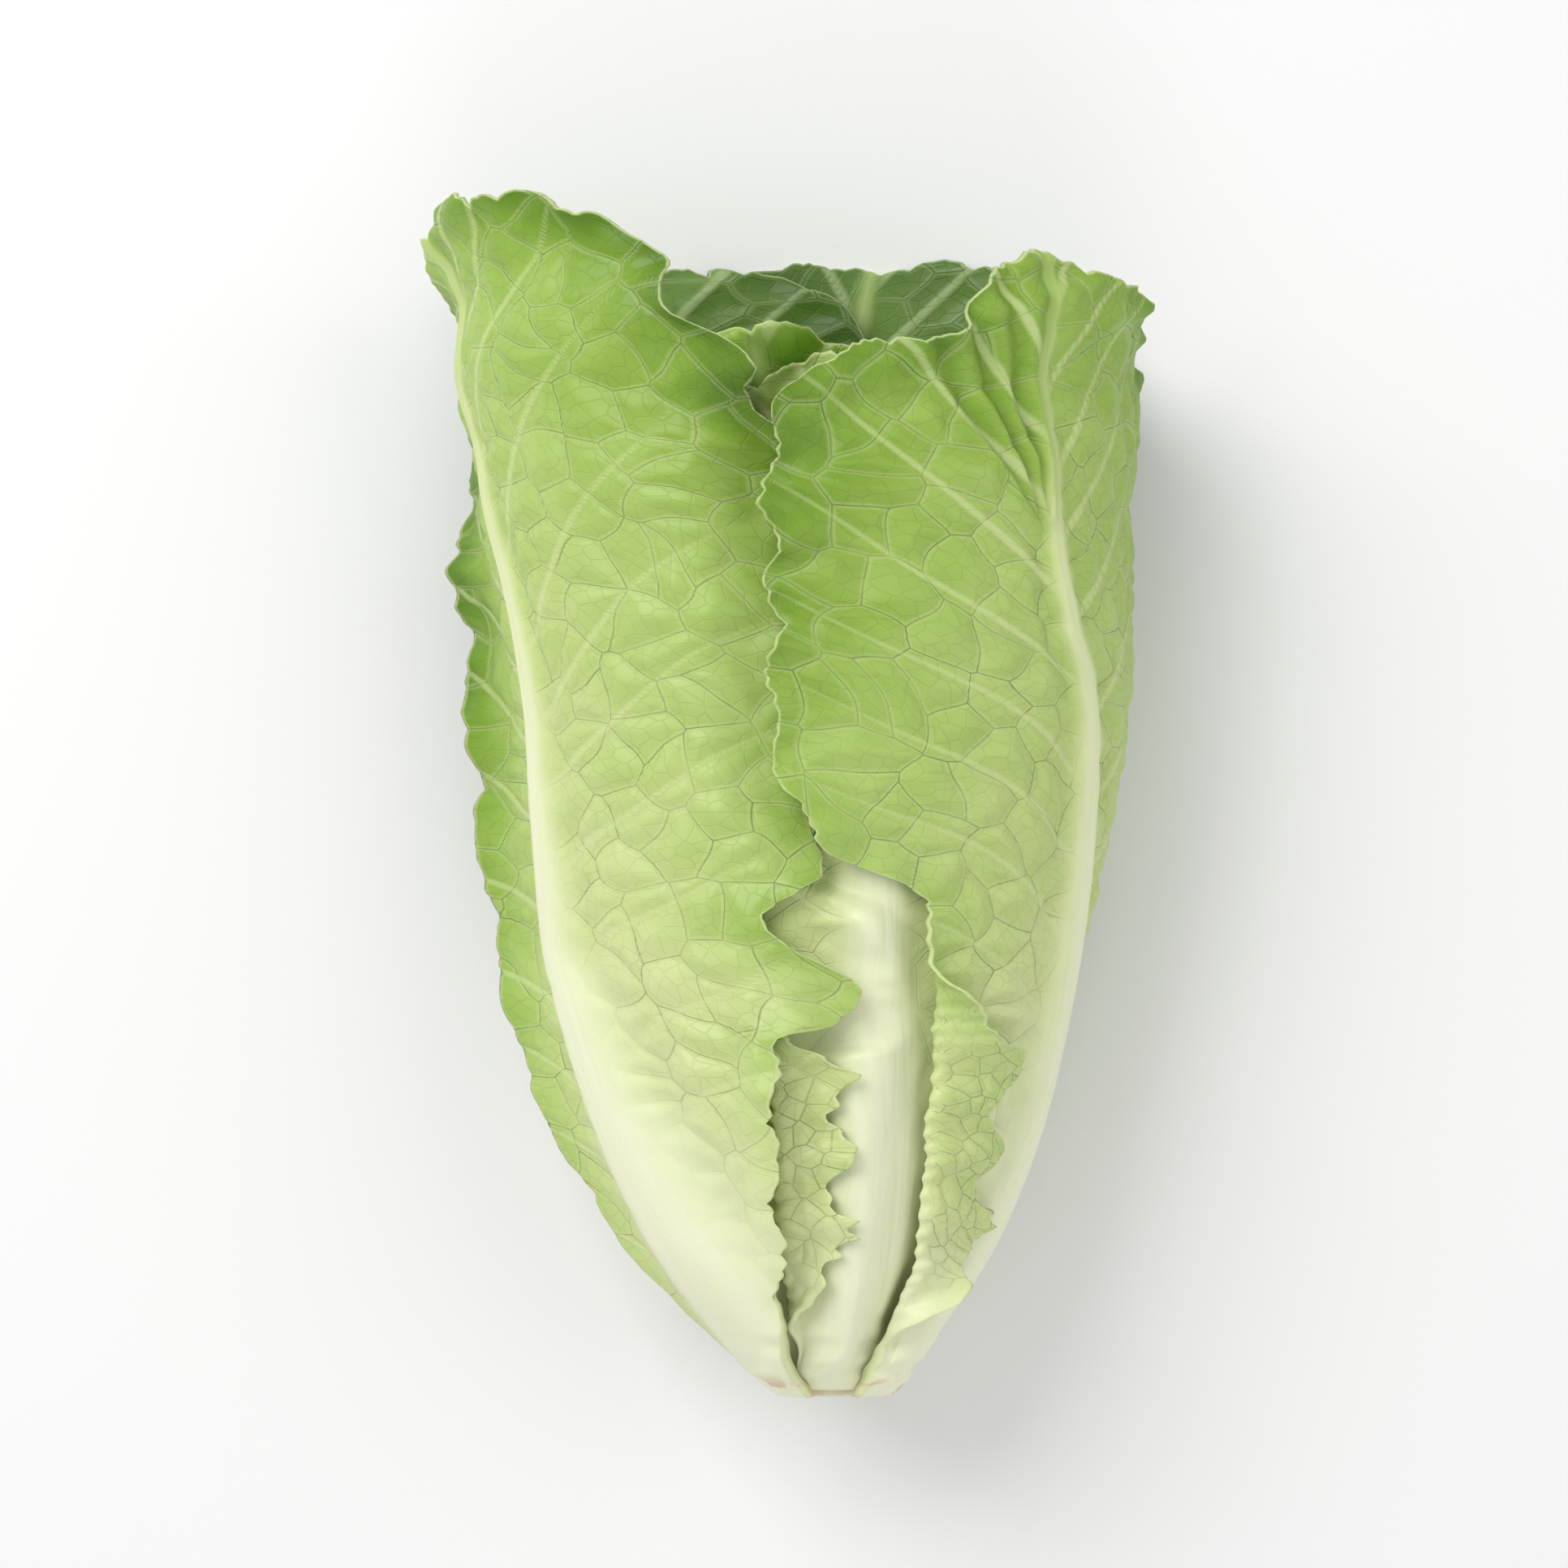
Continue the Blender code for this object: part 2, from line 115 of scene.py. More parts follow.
camera_data = bpy.data.cameras.new("camera")
camera_data.lens = LENS
camera_data.sensor_width = SENSOR
camera = bpy.data.objects.new("camera", camera_data)
camera.location = (*VIEW_CENTRE, WIDEST_LINE + VIEW_WIDTH * LENS / SENSOR)
bpy.context.scene.collection.objects.link(camera)
bpy.context.scene.camera = camera
print("camera height, metres:", round(camera.location.z, 3))

# %% [markdown]
# The table is one large pale plane. It is scenery.

# %% Table
TABLE_SIZE = 6

deselect_all()
bpy.ops.mesh.primitive_plane_add(size=TABLE_SIZE)
table = bpy.context.active_object
table.name = "pale_table"
table_paint = bpy.data.materials.new("matt white laminate")
table_paint.use_nodes = True
table_shader = table_paint.node_tree.nodes["Principled BSDF"]
table_shader.inputs["Base Color"].default_value = colour("#f4f4f4")
table_shader.inputs["Roughness"].default_value = 0.7
table.data.materials.append(table_paint)

# %% [markdown]
# A studio lights food with large soft boxes. The key light stands above and to the left, weaker ones fill
# the right and the foot, and the white room does the rest. The Standard view transform keeps the whites
# white.

# %% Light
LIGHTS = {
    "key_softbox": ((-0.75, 0.75, 1.15), 1.0, 15.0),
    "fill_softbox": ((0.95, 0.1, 0.9), 1.0, 3.0),
    "foot_softbox": ((0.1, -1.1, 0.8), 0.9, 2.5),
}
ROOM_LIGHT = 0.5

scene = bpy.context.scene
scene.view_settings.view_transform = "Standard"
scene.world = bpy.data.worlds.new("white studio")
scene.world.use_nodes = True
background = scene.world.node_tree.nodes["Background"]
background.inputs["Color"].default_value = colour("#ffffff")
background.inputs["Strength"].default_value = ROOM_LIGHT
for name, (place, size, power) in LIGHTS.items():
    lamp = bpy.data.lights.new(name, "AREA")
    lamp.size = size
    lamp.energy = power
    light = bpy.data.objects.new(name, lamp)
    light.location = place
    light.rotation_euler = (-light.location).to_track_quat("-Z", "Y").to_euler()
    scene.collection.objects.link(light)

# %% [markdown]
# ## The head that the leaves fill
#
# No leaf of a head has a shape of its own: each takes the room that its neighbours leave. So the whole head
# is drawn first, as an oval tube that widens from the cut to the tips, and every leaf is laid in its own
# layer inside it. The tables below are the ones that the CAD model was built from, in millimetres. A height
# runs from the cut at the foot to the tips, and an azimuth turns round the head from +X, through the top,
# to -X.

# %% Measures of the head
HALF_WIDTH = ((0, 13), (12, 26), (40, 47), (80, 62), (147, 74), (177, 77), (208, 79), (249, 82), (300, 84))
FRONT_DEPTH = ((0, 13), (12, 24), (40, 36), (80, 43), (145, 49), (205, 52), (255, 52), (300, 50))
BACK_DEPTH = ((0, 13), (12, 23), (40, 36), (70, 43), (95, 46), (255, 46), (300, 46))
SIDE_SHIFT = ((0, -1), (12, -3.5), (40, -6.5), (80, -7), (147, -4), (170, -3), (208, -5.5), (249, -9),
              (300, -10))
FRONT_ROUNDNESS = 2.0
BACK_ROUNDNESS = 2.6
UNEVEN = 0.02
UNEVEN_WAVES = 3
UNEVEN_LENGTH = 35
AXIS_LIFT = 45.8
STEM_RADIUS = ((0, 7.4), (2, 8.2), (7, 8.6), (15, 8.4), (25, 7.2), (35, 5.6), (45, 3.6), (52, 1.6),
               (400, 1.6))
STEM_RINGS = (0, 0.6, 2, 5, 9, 14, 20, 27, 34, 41, 47, 51)
INMOST_LAYER = 3
NEAREST_STEM = 2


def curve(table, at):
    """A smooth curve through the table's points that never overshoots them."""
    xs, ys = np.array(table, float).T
    step = np.diff(xs)
    rise = np.diff(ys) / step
    slope = np.zeros(len(xs))
    slope[0], slope[-1] = rise[0], rise[-1]
    for i in range(1, len(xs) - 1):
        if rise[i - 1] * rise[i] > 0:
            slope[i] = 2 * rise[i - 1] * rise[i] / (rise[i - 1] + rise[i])
    at = np.asarray(at, float)
    i = np.clip(np.searchsorted(xs, at, side="right") - 1, 0, len(xs) - 2)
    t = np.clip((at - xs[i]) / step[i], 0, 1)
    near = (1 + 2 * t) * ys[i] + t * step[i] * slope[i]
    far = (3 - 2 * t) * ys[i + 1] + (t - 1) * step[i] * slope[i + 1]
    return (1 - t) ** 2 * near + t**2 * far


def fade(x):
    """1 below 0, 0 above 1, with a smooth fall between."""
    t = np.clip(x, 0, 1)
    return 1 - t * t * (3 - 2 * t)


# %% [markdown]
# The tables count from the middle of the cut. The CAD model stands centred on the origin instead, and its
# stem node says by how much the two differ.

# %% Place of the cut in the frame
stem_left = min(float(curve(SIDE_SHIFT, h) - curve(STEM_RADIUS, h)) for h in STEM_RINGS)
stem_under = AXIS_LIFT - max(float(curve(STEM_RADIUS, h)) for h in STEM_RINGS)
stem_low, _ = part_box("stem")
PLACE = np.array([stem_low.x / MM - stem_left, stem_low.y / MM, stem_low.z / MM - stem_under])
print("the cut lies at, millimetres:", PLACE.round(2))

# %% [markdown]
# Two functions give the oval its form: the angle at which a place on the oval is seen from the axis, and
# how far the outside of the head is at that angle. The back is a little squarer, because the heart lies on
# it.

# %% Form of the head
def direction(azimuth, height):
    """The angle at which a place on the oval head is seen from the axis."""
    turn = np.radians(azimuth)
    depth = np.where(np.sin(turn) > 0, curve(FRONT_DEPTH, height), curve(BACK_DEPTH, height))
    return np.arctan2(depth * np.sin(turn), curve(HALF_WIDTH, height) * np.cos(turn))


def head_radius(angle, height):
    """The outside of the head from its axis."""
    front = np.sin(angle) > 0
    depth = np.where(front, curve(FRONT_DEPTH, height), curve(BACK_DEPTH, height))
    roundness = np.where(front, FRONT_ROUNDNESS, BACK_ROUNDNESS)
    across = np.abs(np.cos(angle) / curve(HALF_WIDTH, height)) ** roundness
    deep = np.abs(np.sin(angle) / depth) ** roundness
    wave = np.sin(UNEVEN_WAVES * angle + height / UNEVEN_LENGTH)
    uneven = UNEVEN * wave * np.clip(np.sin(angle), 0, 1)
    return (across + deep) ** (-1 / roundness) * (1 + uneven)


def usual_radius(leaf, height):
    """The mean radius of a leaf's layer, which turns millimetres round the head into degrees."""
    stem = curve(STEM_RADIUS, height)
    mean = (curve(HALF_WIDTH, height) + curve(FRONT_DEPTH, height) + curve(BACK_DEPTH, height)) / 3
    inmost = stem + INMOST_LAYER
    return np.maximum(inmost + (mean - stem - INMOST_LAYER) * leaf["layer"], stem + NEAREST_STEM)


# %% [markdown]
# ## The leaves' measures
#
# A lettuce sets each new leaf about 137.5 degrees round from the last, a little higher on the stem. The
# outermost leaves are the longest, with ribs up to 8 mm thick. Three leaves show most from the front, and
# their margins and tips are placed where the photograph has them: the right one, the left one, and the
# middle one whose wing curls over its own rib.

# %% Measures that follow from a leaf's place in the spiral
GOLDEN_ANGLE = 137.5
FIRST_AZIMUTH = 25
LEAN = 6
PHASE_STEP = 2.4
LONGEST_LEAF = 285
BREADTH_GROWTH = 0.55
BASE_HEIGHTS = (0.4, 0.4, 0.4, 2.2, 3.8, 5.4, 7.0, 8.8, 10.8, 13.0, 15.5, 18.0, 21.0, 24.5, 28.0)
TIP_HEIGHTS = (284, 299, 289, 256, 288, 264, 262, 258, 240, 228, 212, 190, 168, 142, 112)
RIB_THICKNESS = (8.0, 8.5, 8.0, 8.0, 7.5, 6.5, 6.5, 6.0, 5.5, 5.0, 4.6, 4.2, 3.8, 3.4, 3.0)
LAYER_STEP = 0.052
LAST_LAYER = 0.2
RIB_TAPER = ((0, 0.42), (0.06, 0.85), (0.13, 1.0), (0.35, 0.8), (0.6, 0.45), (0.85, 0.22), (1, 0.12))
USUAL_RIB = 8
RIB_ROUNDNESS = 2.8
RIB_NARROWING = ((0, 12), (0.12, 13), (0.3, 11), (0.42, 8.5), (0.55, 6), (0.75, 3.5), (1, 2))
HALF_BREADTH = ((0, 12.5), (0.06, 15), (0.2, 24), (0.35, 36), (0.5, 50), (0.7, 62), (0.9, 60), (1, 50))
TIP_DROP = 0.18
TIP_ROUNDNESS = 2.6
TIP_POINTS = 4
WIDEST_REACH = 98
BLADE = 0.9
BASE_EDGE = 1.0
BASE_EDGE_REACH = 12
BASE_FADE = 4
PROUD_RIB = 0.2
LEAF_GAP = 0.9
WIDEST_ROOM = 8.5
LARGE_EXPONENT = 60
OUTER_SLACK = 0.4
SLACK_STEP = 0.1
SOFT_MARGIN = 12
CLEAR_MARGIN = 1.5
NEARBY_ROW = 5
WIDE_RIB = 1.7
WAVE_LENGTH = 37
RUFFLES = (3.5, 5.0, 5.0, 5.0, 5.0, 3.0, 2.5, 3.0)
INNER_RUFFLE = 1.5
ROOM_WAVE = 0.3
SCALLOP = 0.035
SCALLOPS_PER_WAVE = 1.7
TOP_SCALLOP = 2.0
TOP_SCALLOPS = 9
FLARE = ((0, 0), (150, 1), (300, 3))
LEVEL_ROWS = 4
CURL_RADIUS = 2.4
CURL_CLEARANCE = 1.8
FOLD_FROM = 5 / 12
FOLD_TO = 9 / 12
WING = 0.9
FOLD_HEIGHT = 6.4
SOFT_FOLD = 7
NO_WING = ((0, 0), (300, 0))

# %% Measures of the leaves that are placed by the photograph
PLACED = {
    0: {
        "azimuth": ((0, 38), (10, 28), (20, 21), (45, 12), (82, 12), (126, 20), (160, 28), (177, 32),
                    (192, 38), (215, 42), (249, 45), (284, 46)),
        "left": ((0, 25), (8, 21.5), (17, 24.5), (33, 34), (44, 41), (82, 46), (110, 46), (124, 49),
                 (129, 53), (133, 60), (139, 67), (155, 71), (167, 70), (192, 60), (215, 55), (245, 50),
                 (284, 48)),
        "right": ((0, 52), (20, 46), (45, 46), (82, 46), (120, 50), (145, 68), (192, 79), (240, 77),
                  (284, 60)),
        "top": ((-1, 240), (-0.85, 252), (-0.7, 261), (-0.58, 266.5), (-0.45, 272), (-0.27, 278.5),
                (0, 282.5), (0.12, 280.5), (0.2, 277.5), (0.28, 274.5), (0.33, 271), (0.38, 264.5),
                (0.46, 263.5), (0.6, 262.5), (0.7, 260), (0.8, 256), (0.9, 250), (1, 240)),
        "wing": ((0, 0), (10, 2), (20, 6), (34, 12), (50, 14.5), (80, 14.5), (100, 9), (122, 0), (300, 0)),
        "curl": ((0, 0), (4, 0), (36, 1), (80, 1), (90, 0.82), (114, 0.2), (126, 0), (300, 0)),
        "flare": (((0, 0), (140, 1), (200, 2), (300, 2)), ((0, 0), (125, 0), (160, 2), (300, 2))),
    },
    1: {
        "azimuth": ((0, 125), (12, 128), (33, 133), (52, 141), (75, 148), (100, 156), (116, 161), (147, 161),
                    (177, 161), (216, 167), (251, 177), (299, 180)),
        "left": ((0, 50), (20, 42), (45, 38), (80, 36), (120, 32), (177, 32), (216, 30), (240, 34), (280, 38),
                 (299, 30)),
        "right": ((0, 13), (10, 17), (20, 26), (40, 38), (70, 50), (87, 55), (92, 60), (95, 71.5), (98, 74.5),
                  (103, 76), (110, 71), (117, 65), (122, 63), (127, 67), (131, 71), (135, 72), (149, 70),
                  (175, 77), (216, 85), (235, 80), (299, 82)),
        "top": ((-1, 252), (-0.93, 260), (-0.865, 270), (-0.76, 283), (-0.69, 291), (-0.46, 299),
                (-0.25, 298), (0, 291), (0.5, 279), (1, 258)),
        "flare": (((0, 0), (300, 1)), ((0, 0), (50, 4), (90, 9), (160, 12), (215, 9), (240, 4), (299, 3))),
    },
    3: {
        "azimuth": ((0, 88), (6, 80), (16, 68), (45, 69), (86, 73), (126, 77), (200, 80), (256, 82)),
        "left": ((0, 40), (11, 32), (20, 31), (35, 28), (50, 27), (70, 24), (93, 23), (112, 23.5),
                 (128, 31), (150, 46), (256, 44)),
        "right": ((0, 44), (20, 36), (60, 34), (110, 44), (160, 56), (220, 60), (256, 46)),
        "top": ((-1, 222), (-0.5, 250), (0, 256), (0.5, 250), (1, 226)),
        "wing": ((0, 0), (12, 1.5), (24, 5), (37, 8), (70, 9), (84, 8.5), (95, 4), (107, 0), (300, 0)),
        "curl": ((0, 0), (6, 0), (14, 0.3), (36, 1), (78, 1), (90, 0.78), (110, 0.16), (120, 0), (300, 0)),
        "flare": (((0, 0), (300, 0)), ((0, 0), (300, 0))),
    },
}
LEANING = {
    2: ((0, 300), (30, 290), (70, 276), (110, 270), (200, 272), (289, 284)),
    4: ((0, 215), (60, 218), (150, 226), (288, 242)),
    6: ((0, 130), (80, 124), (180, 108), (262, 98)),
}

# %% [markdown]
# Each leaf's measures are gathered in one dictionary. The reach of a margin is kept in degrees round the
# head, because the margins of wrapped leaves follow the head and not a flat pattern.

# %% The fifteen leaves
def make_leaf(order):
    """The driving measures of one leaf, counted from the outermost."""
    base = BASE_HEIGHTS[order]
    tip = TIP_HEIGHTS[order]
    azimuth = FIRST_AZIMUTH + GOLDEN_ANGLE * order
    leaf = {
        "order": order,
        "name": f"leaf_{order + 1:02d}",
        "base": base,
        "tip": tip,
        "rib": RIB_THICKNESS[order],
        "layer": max(1 - LAYER_STEP * order, LAST_LAYER),
        "azimuth": LEANING.get(order, ((0, azimuth), (tip, azimuth + LEAN))),
        "wing": NO_WING,
        "curl": NO_WING,
        "flare": (FLARE, FLARE),
        "ruffle": RUFFLES[order] if order < len(RUFFLES) else INNER_RUFFLE,
        "slack": OUTER_SLACK + SLACK_STEP * order,
        "phase": PHASE_STEP * order,
    }
    size = ((tip - base) / LONGEST_LEAF) ** BREADTH_GROWTH
    reach = []
    for share, breadth in HALF_BREADTH:
        height = base + share * (tip - base)
        degrees = math.degrees(breadth * size / float(usual_radius(leaf, height)))
        reach.append((height, min(degrees, WIDEST_REACH)))
    leaf["left"] = reach
    leaf["right"] = reach
    drop = TIP_DROP * (tip - base)
    places = [point / TIP_POINTS for point in range(-TIP_POINTS, TIP_POINTS + 1)]
    leaf["top"] = [(v, tip - drop * abs(v) ** TIP_ROUNDNESS) for v in places]
    leaf.update(PLACED.get(order, {}))
    return leaf


LEAVES = [make_leaf(order) for order in range(len(BASE_HEIGHTS))]
print(len(LEAVES), "leaves,", LEAVES[-1]["tip"], "to", max(TIP_HEIGHTS), "mm high")

# %% [markdown]
# ## How the leaves share the room
#
# Where two leaves overlap, the outer one lies on the inner one. So a leaf's distance from the axis is the
# sum of the thickness of all the leaves inside it, and where there is room to spare the leaves stand apart.
# A leaf counts from a little outside its margin, which lets its neighbour ride over the edge in a soft
# step.

# %% Reach, presence and thickness of a leaf
def length_share(leaf, height):
    return (height - leaf["base"]) / (leaf["tip"] - leaf["base"])


def side_reach(leaf, left, height):
    """How far the leaf reaches from its rib, in degrees."""
    share = np.clip(length_share(leaf, height), 0, 1)
    turns = 2 * math.pi * height / WAVE_LENGTH * SCALLOPS_PER_WAVE
    ripple = SCALLOP * share * np.sin(turns + leaf["phase"])
    return np.where(left, curve(leaf["left"], height), curve(leaf["right"], height)) * (1 + ripple)


def top_height(leaf, v):
    """Where the leaf ends above, at v from -1, its right margin, to 1, its left one."""
    return curve(leaf["top"], v) + TOP_SCALLOP * np.sin(TOP_SCALLOPS * v + leaf["phase"])


def turn_from_rib(leaf, azimuth, height):
    return (azimuth - curve(leaf["azimuth"], height) + 180) % 360 - 180


def presence(leaf, azimuth, height):
    """1 where the leaf is, falling to 0 a little way outside its margin."""
    turn = turn_from_rib(leaf, azimuth, height)
    radius = usual_radius(leaf, height)
    reach = side_reach(leaf, turn > 0, height)
    for nearby in (-NEARBY_ROW, NEARBY_ROW):
        reach = np.maximum(reach, side_reach(leaf, turn > 0, height + nearby))
    curl = np.where(turn > 0, CURL_RADIUS * np.clip(2 * curve(leaf["curl"], height), 0, 1), 0)
    past = np.radians(np.abs(turn) - reach) * radius - CLEAR_MARGIN - curl
    over = height - top_height(leaf, np.clip(turn / reach, -1, 1)) - CLEAR_MARGIN
    under = leaf["base"] - height
    return fade(past / SOFT_MARGIN) * fade(over / SOFT_MARGIN) * fade(under / BASE_FADE)


def rib_share(leaf, azimuth, height, spread=1.0):
    """1 on the crest of the rib, falling to 0 on the blade."""
    half = curve(RIB_NARROWING, length_share(leaf, height)) * (leaf["rib"] / USUAL_RIB) * spread
    along = np.radians(turn_from_rib(leaf, azimuth, height)) * usual_radius(leaf, height)
    return np.exp(-(np.abs(along / half) ** RIB_ROUNDNESS))


def thickness(leaf, azimuth, height, spread=1.0):
    """Blade and rib together; a spread over 1 gives the wider hollow that the rib is allowed."""
    rib = leaf["rib"] * curve(RIB_TAPER, length_share(leaf, height))
    edge = BLADE + BASE_EDGE * np.exp(-np.maximum(height - leaf["base"], 0) / BASE_EDGE_REACH)
    return edge + np.maximum(rib - edge, 0) * rib_share(leaf, azimuth, height, spread)


# %% [markdown]
# A wing that is folded back lies on top of its own leaf, so a leaf outside it must ride over the fold as
# well.

# %% The layer of a leaf
def folded_room(leaf, azimuth, height):
    """The room that a leaf's folded wing takes on top of the leaf."""
    turn = turn_from_rib(leaf, azimuth, height)
    radius = usual_radius(leaf, height)
    from_fold = np.radians(curve(leaf["left"], height) - turn) * radius
    past_wing = (from_fold - curve(leaf["wing"], height)) / SOFT_FOLD
    past_fold = (-from_fold - CURL_RADIUS) / SOFT_FOLD
    return FOLD_HEIGHT * curve(leaf["curl"], height) * fade(past_wing) * fade(past_fold)


def layer(leaf, azimuth, height):
    """Where one leaf lies at a place on the head: inner radius, room round it, and how open it is outside."""
    stem = curve(STEM_RADIUS, height)
    inside = np.zeros_like(height)
    outside = np.zeros_like(height)
    total = np.zeros_like(height)
    slack = np.zeros_like(height)
    is_open = np.ones_like(height)
    for other in LEAVES:
        here = presence(other, azimuth, height)
        taken = here * (thickness(other, azimuth, height, WIDE_RIB) + LEAF_GAP)
        total += taken
        slack += here * other["slack"]
        if other["order"] > leaf["order"]:
            inside += taken + folded_room(other, azimuth, height)
        elif other["order"] < leaf["order"]:
            outside += here * other["slack"]
            is_open *= 1 - here
    free = head_radius(direction(azimuth, height), height) - stem - total
    free = np.log1p(np.exp(np.minimum(free, LARGE_EXPONENT))) + np.maximum(free - LARGE_EXPONENT, 0)
    slack = np.maximum(slack, 1)
    room = WIDEST_ROOM * (1 - np.exp(-free / (WIDEST_ROOM * slack)))
    return stem + inside + LEAF_GAP + free - room * outside, room, is_open


# %% [markdown]
# ## The margin: lobes, notches and teeth
#
# A romaine leaf has no smooth outline. Rounded lobes about 12 mm long meet in small sharp notches, fine
# points about 4 mm apart sit on the lobes, and the pale wings beside the rib low down end in pointed teeth.
# All are functions of the length along the margin, and they move only the outermost millimetres of the
# sheet. Waves change their spacing and size, so that no two neighbours are alike: a spacing wave is given
# as its size, its length and its turn from leaf to leaf, and a wave of sizes as its spread, length and
# turn.

# %% Lobes and teeth
LOBE = 12.5
LOBE_DEPTH = 1.7
LOBE_SPACING = ((3.1, 8.3, 1), (1.7, 4.1, 2))
LOBE_SIZES = (0.25, 19, 3)
LOBE_ROUNDNESS = 0.55
MEAN_LOBE = 0.6
TOP_LOBES = 1.6
DEEP_LOBES = {1: 2.2, 2: 1.6, 4: 1.6, 5: 1.4}
DEEP_LOBE = 24.0
DEEP_LOBE_SPACING = ((4, 17, 1),)
DEEP_LOBE_ROUNDNESS = 0.7
MEAN_DEEP_LOBE = 0.7
POINT = 4.1
POINT_DEPTH = 0.9
POINT_SPACING = ((0.9, 2.9, 1),)
POINT_SIZES = (0.35, 7.3, 2)
MEAN_POINT = 0.4
TOOTH = 5.6
TOOTH_DEPTH = 2.8
TOOTH_SPACING = ((1.2, 3.7, 1),)
TOOTH_SIZES = (0.4, 6.1, 1)
TOOTH_SHARPNESS = 1.5


def spaced(along, phase, waves):
    """The length along a margin, stretched and squeezed by waves of a given size, length and turn."""
    return along + sum(size * np.sin(along / length + turn * phase) for size, length, turn in waves)


def sized(along, phase, wave):
    """A factor that wanders between 1 and a smaller size, so that neighbours differ."""
    spread, length, turn = wave
    return 1 - spread + spread * np.sin(along / length + turn * phase)


def zigzag(along, length):
    """From 1 to 0 and back to 1 over one length."""
    return np.abs(along / length % 1 - 0.5) * 2


def lobes(along, phase):
    """Rounded lobes with sharp notches between them: 0 in a notch, 1 at the top of a lobe."""
    arches = np.abs(np.sin(math.pi * spaced(along, phase, LOBE_SPACING) / LOBE))
    return sized(along, phase, LOBE_SIZES) * arches**LOBE_ROUNDNESS


def deep_lobes(leaf, along):
    """The long lobes of the leaves whose margins stand free, in millimetres."""
    depth = DEEP_LOBES.get(leaf["order"], 0)
    arches = np.abs(np.sin(math.pi * spaced(along, leaf["phase"], DEEP_LOBE_SPACING) / DEEP_LOBE))
    return depth * (arches**DEEP_LOBE_ROUNDNESS - MEAN_DEEP_LOBE)


def fine_points(along, phase):
    """Small sharp points: 0 between them, 1 at a point."""
    return sized(along, phase, POINT_SIZES) * zigzag(spaced(along, phase, POINT_SPACING), POINT)


def teeth(along, phase):
    """Pointed teeth with gaps between them: 0 in a gap, 1 at a point."""
    saw = zigzag(spaced(along, phase, TOOTH_SPACING), TOOTH)
    return sized(along, phase, TOOTH_SIZES) * np.clip(1 - TOOTH_SHARPNESS * saw, 0, 1)


# %% [markdown]
# ## Laying a leaf in its place
#
# A sheet is first a flat grid. Its columns run from margin to margin and its rows from base to tip, and
# each point is then laid on its layer of the head. In two leaves the left margin curls outwards and lies
# back on the rib, as the margins of a tightly packed heart do; there some of the columns are kept for the
# fold.

# %% Rolled out and folded columns
TOP_HALF_BREADTH = 75
TOP_LOBE_REACH = 24
TOP_POINT_REACH = 60


def unrolled(v, flat, arc, wing, curled):
    """How far from the rib a column lies on the blade rolled out flat, with columns kept for the fold."""
    even = v * (flat + arc + wing)
    on_arc = flat + arc * (v - FOLD_FROM) / (FOLD_TO - FOLD_FROM)
    on_wing = flat + arc + wing * (v - FOLD_TO) / (1 - FOLD_TO)
    kept = np.where(v < FOLD_FROM, flat * v / FOLD_FROM, np.where(v < FOLD_TO, on_arc, on_wing))
    return even + (kept - even) * curled


def rows_of(leaf, v, u):
    """The height of a point; rows are level at the base and follow the lobed tip above."""
    across = TOP_HALF_BREADTH * v
    lobed = TOP_LOBES * LOBE_DEPTH * (lobes(across, leaf["phase"] + 1) - MEAN_LOBE)
    lobed = lobed + deep_lobes(leaf, across)
    pointed = POINT_DEPTH * (fine_points(across, leaf["phase"]) - MEAN_POINT)
    missing = leaf["tip"] - top_height(leaf, v)
    edge = lobed * u**TOP_LOBE_REACH + pointed * u**TOP_POINT_REACH
    return leaf["base"] + (leaf["tip"] - leaf["base"]) * u - missing * u**LEVEL_ROWS + edge


# %% [markdown]
# Two helpers say how far the margin's outline and its waves carry a point, and the function after them lays
# one face of the sheet. It also notes, at each point, what the later steps need: where the point lies on
# the rolled out leaf, how near the rib, and how open the leaf is to the outside there.
#
# At its base a leaf has no gap to what is inside it: there its inner face grows in until the two nearly
# touch.

# %% Laying one face
BUMP = 4.2
BUMP_HEIGHT = 0.5
WING_SWAY = 0.25
WING_RISE = 0.8
ROOTED = 0.85
ROOT_LENGTH = 14
FULL_TOOTH_WING = 5
RAGGED_REACH = 10
POINTED_REACH = 40
SMOOTH_FOOT = 0.12
FREE_OF_FLOOR = 0.35
FLOOR_SOFTNESS = 0.4
SMALL_RUFFLE = 1.3
SMALL_WAVE = 14.0
SMALL_WAVE_SLANT = 30


def side_outline(leaf, v, height, curled, wing):
    """How far lobes, points and teeth carry the side margins outwards."""
    share = np.clip(length_share(leaf, height), 0, 1)
    phase = leaf["phase"] + np.where(v > 0, 1, -1)
    on_edge = fade((SMOOTH_FOOT - share) / SMOOTH_FOOT) * (1 - curled)
    ragged = LOBE_DEPTH * (lobes(height, phase) - MEAN_LOBE) + deep_lobes(leaf, height)
    ragged = on_edge * ragged * np.abs(v) ** RAGGED_REACH
    pointed = POINT_DEPTH * (fine_points(height, phase) - MEAN_POINT)
    pointed = on_edge * pointed * np.abs(v) ** POINTED_REACH
    toothed = np.minimum(curled, wing / FULL_TOOTH_WING) * TOOTH_DEPTH * teeth(height, leaf["phase"])
    toothed = toothed * np.abs(v) ** RAGGED_REACH
    return ragged + pointed + toothed


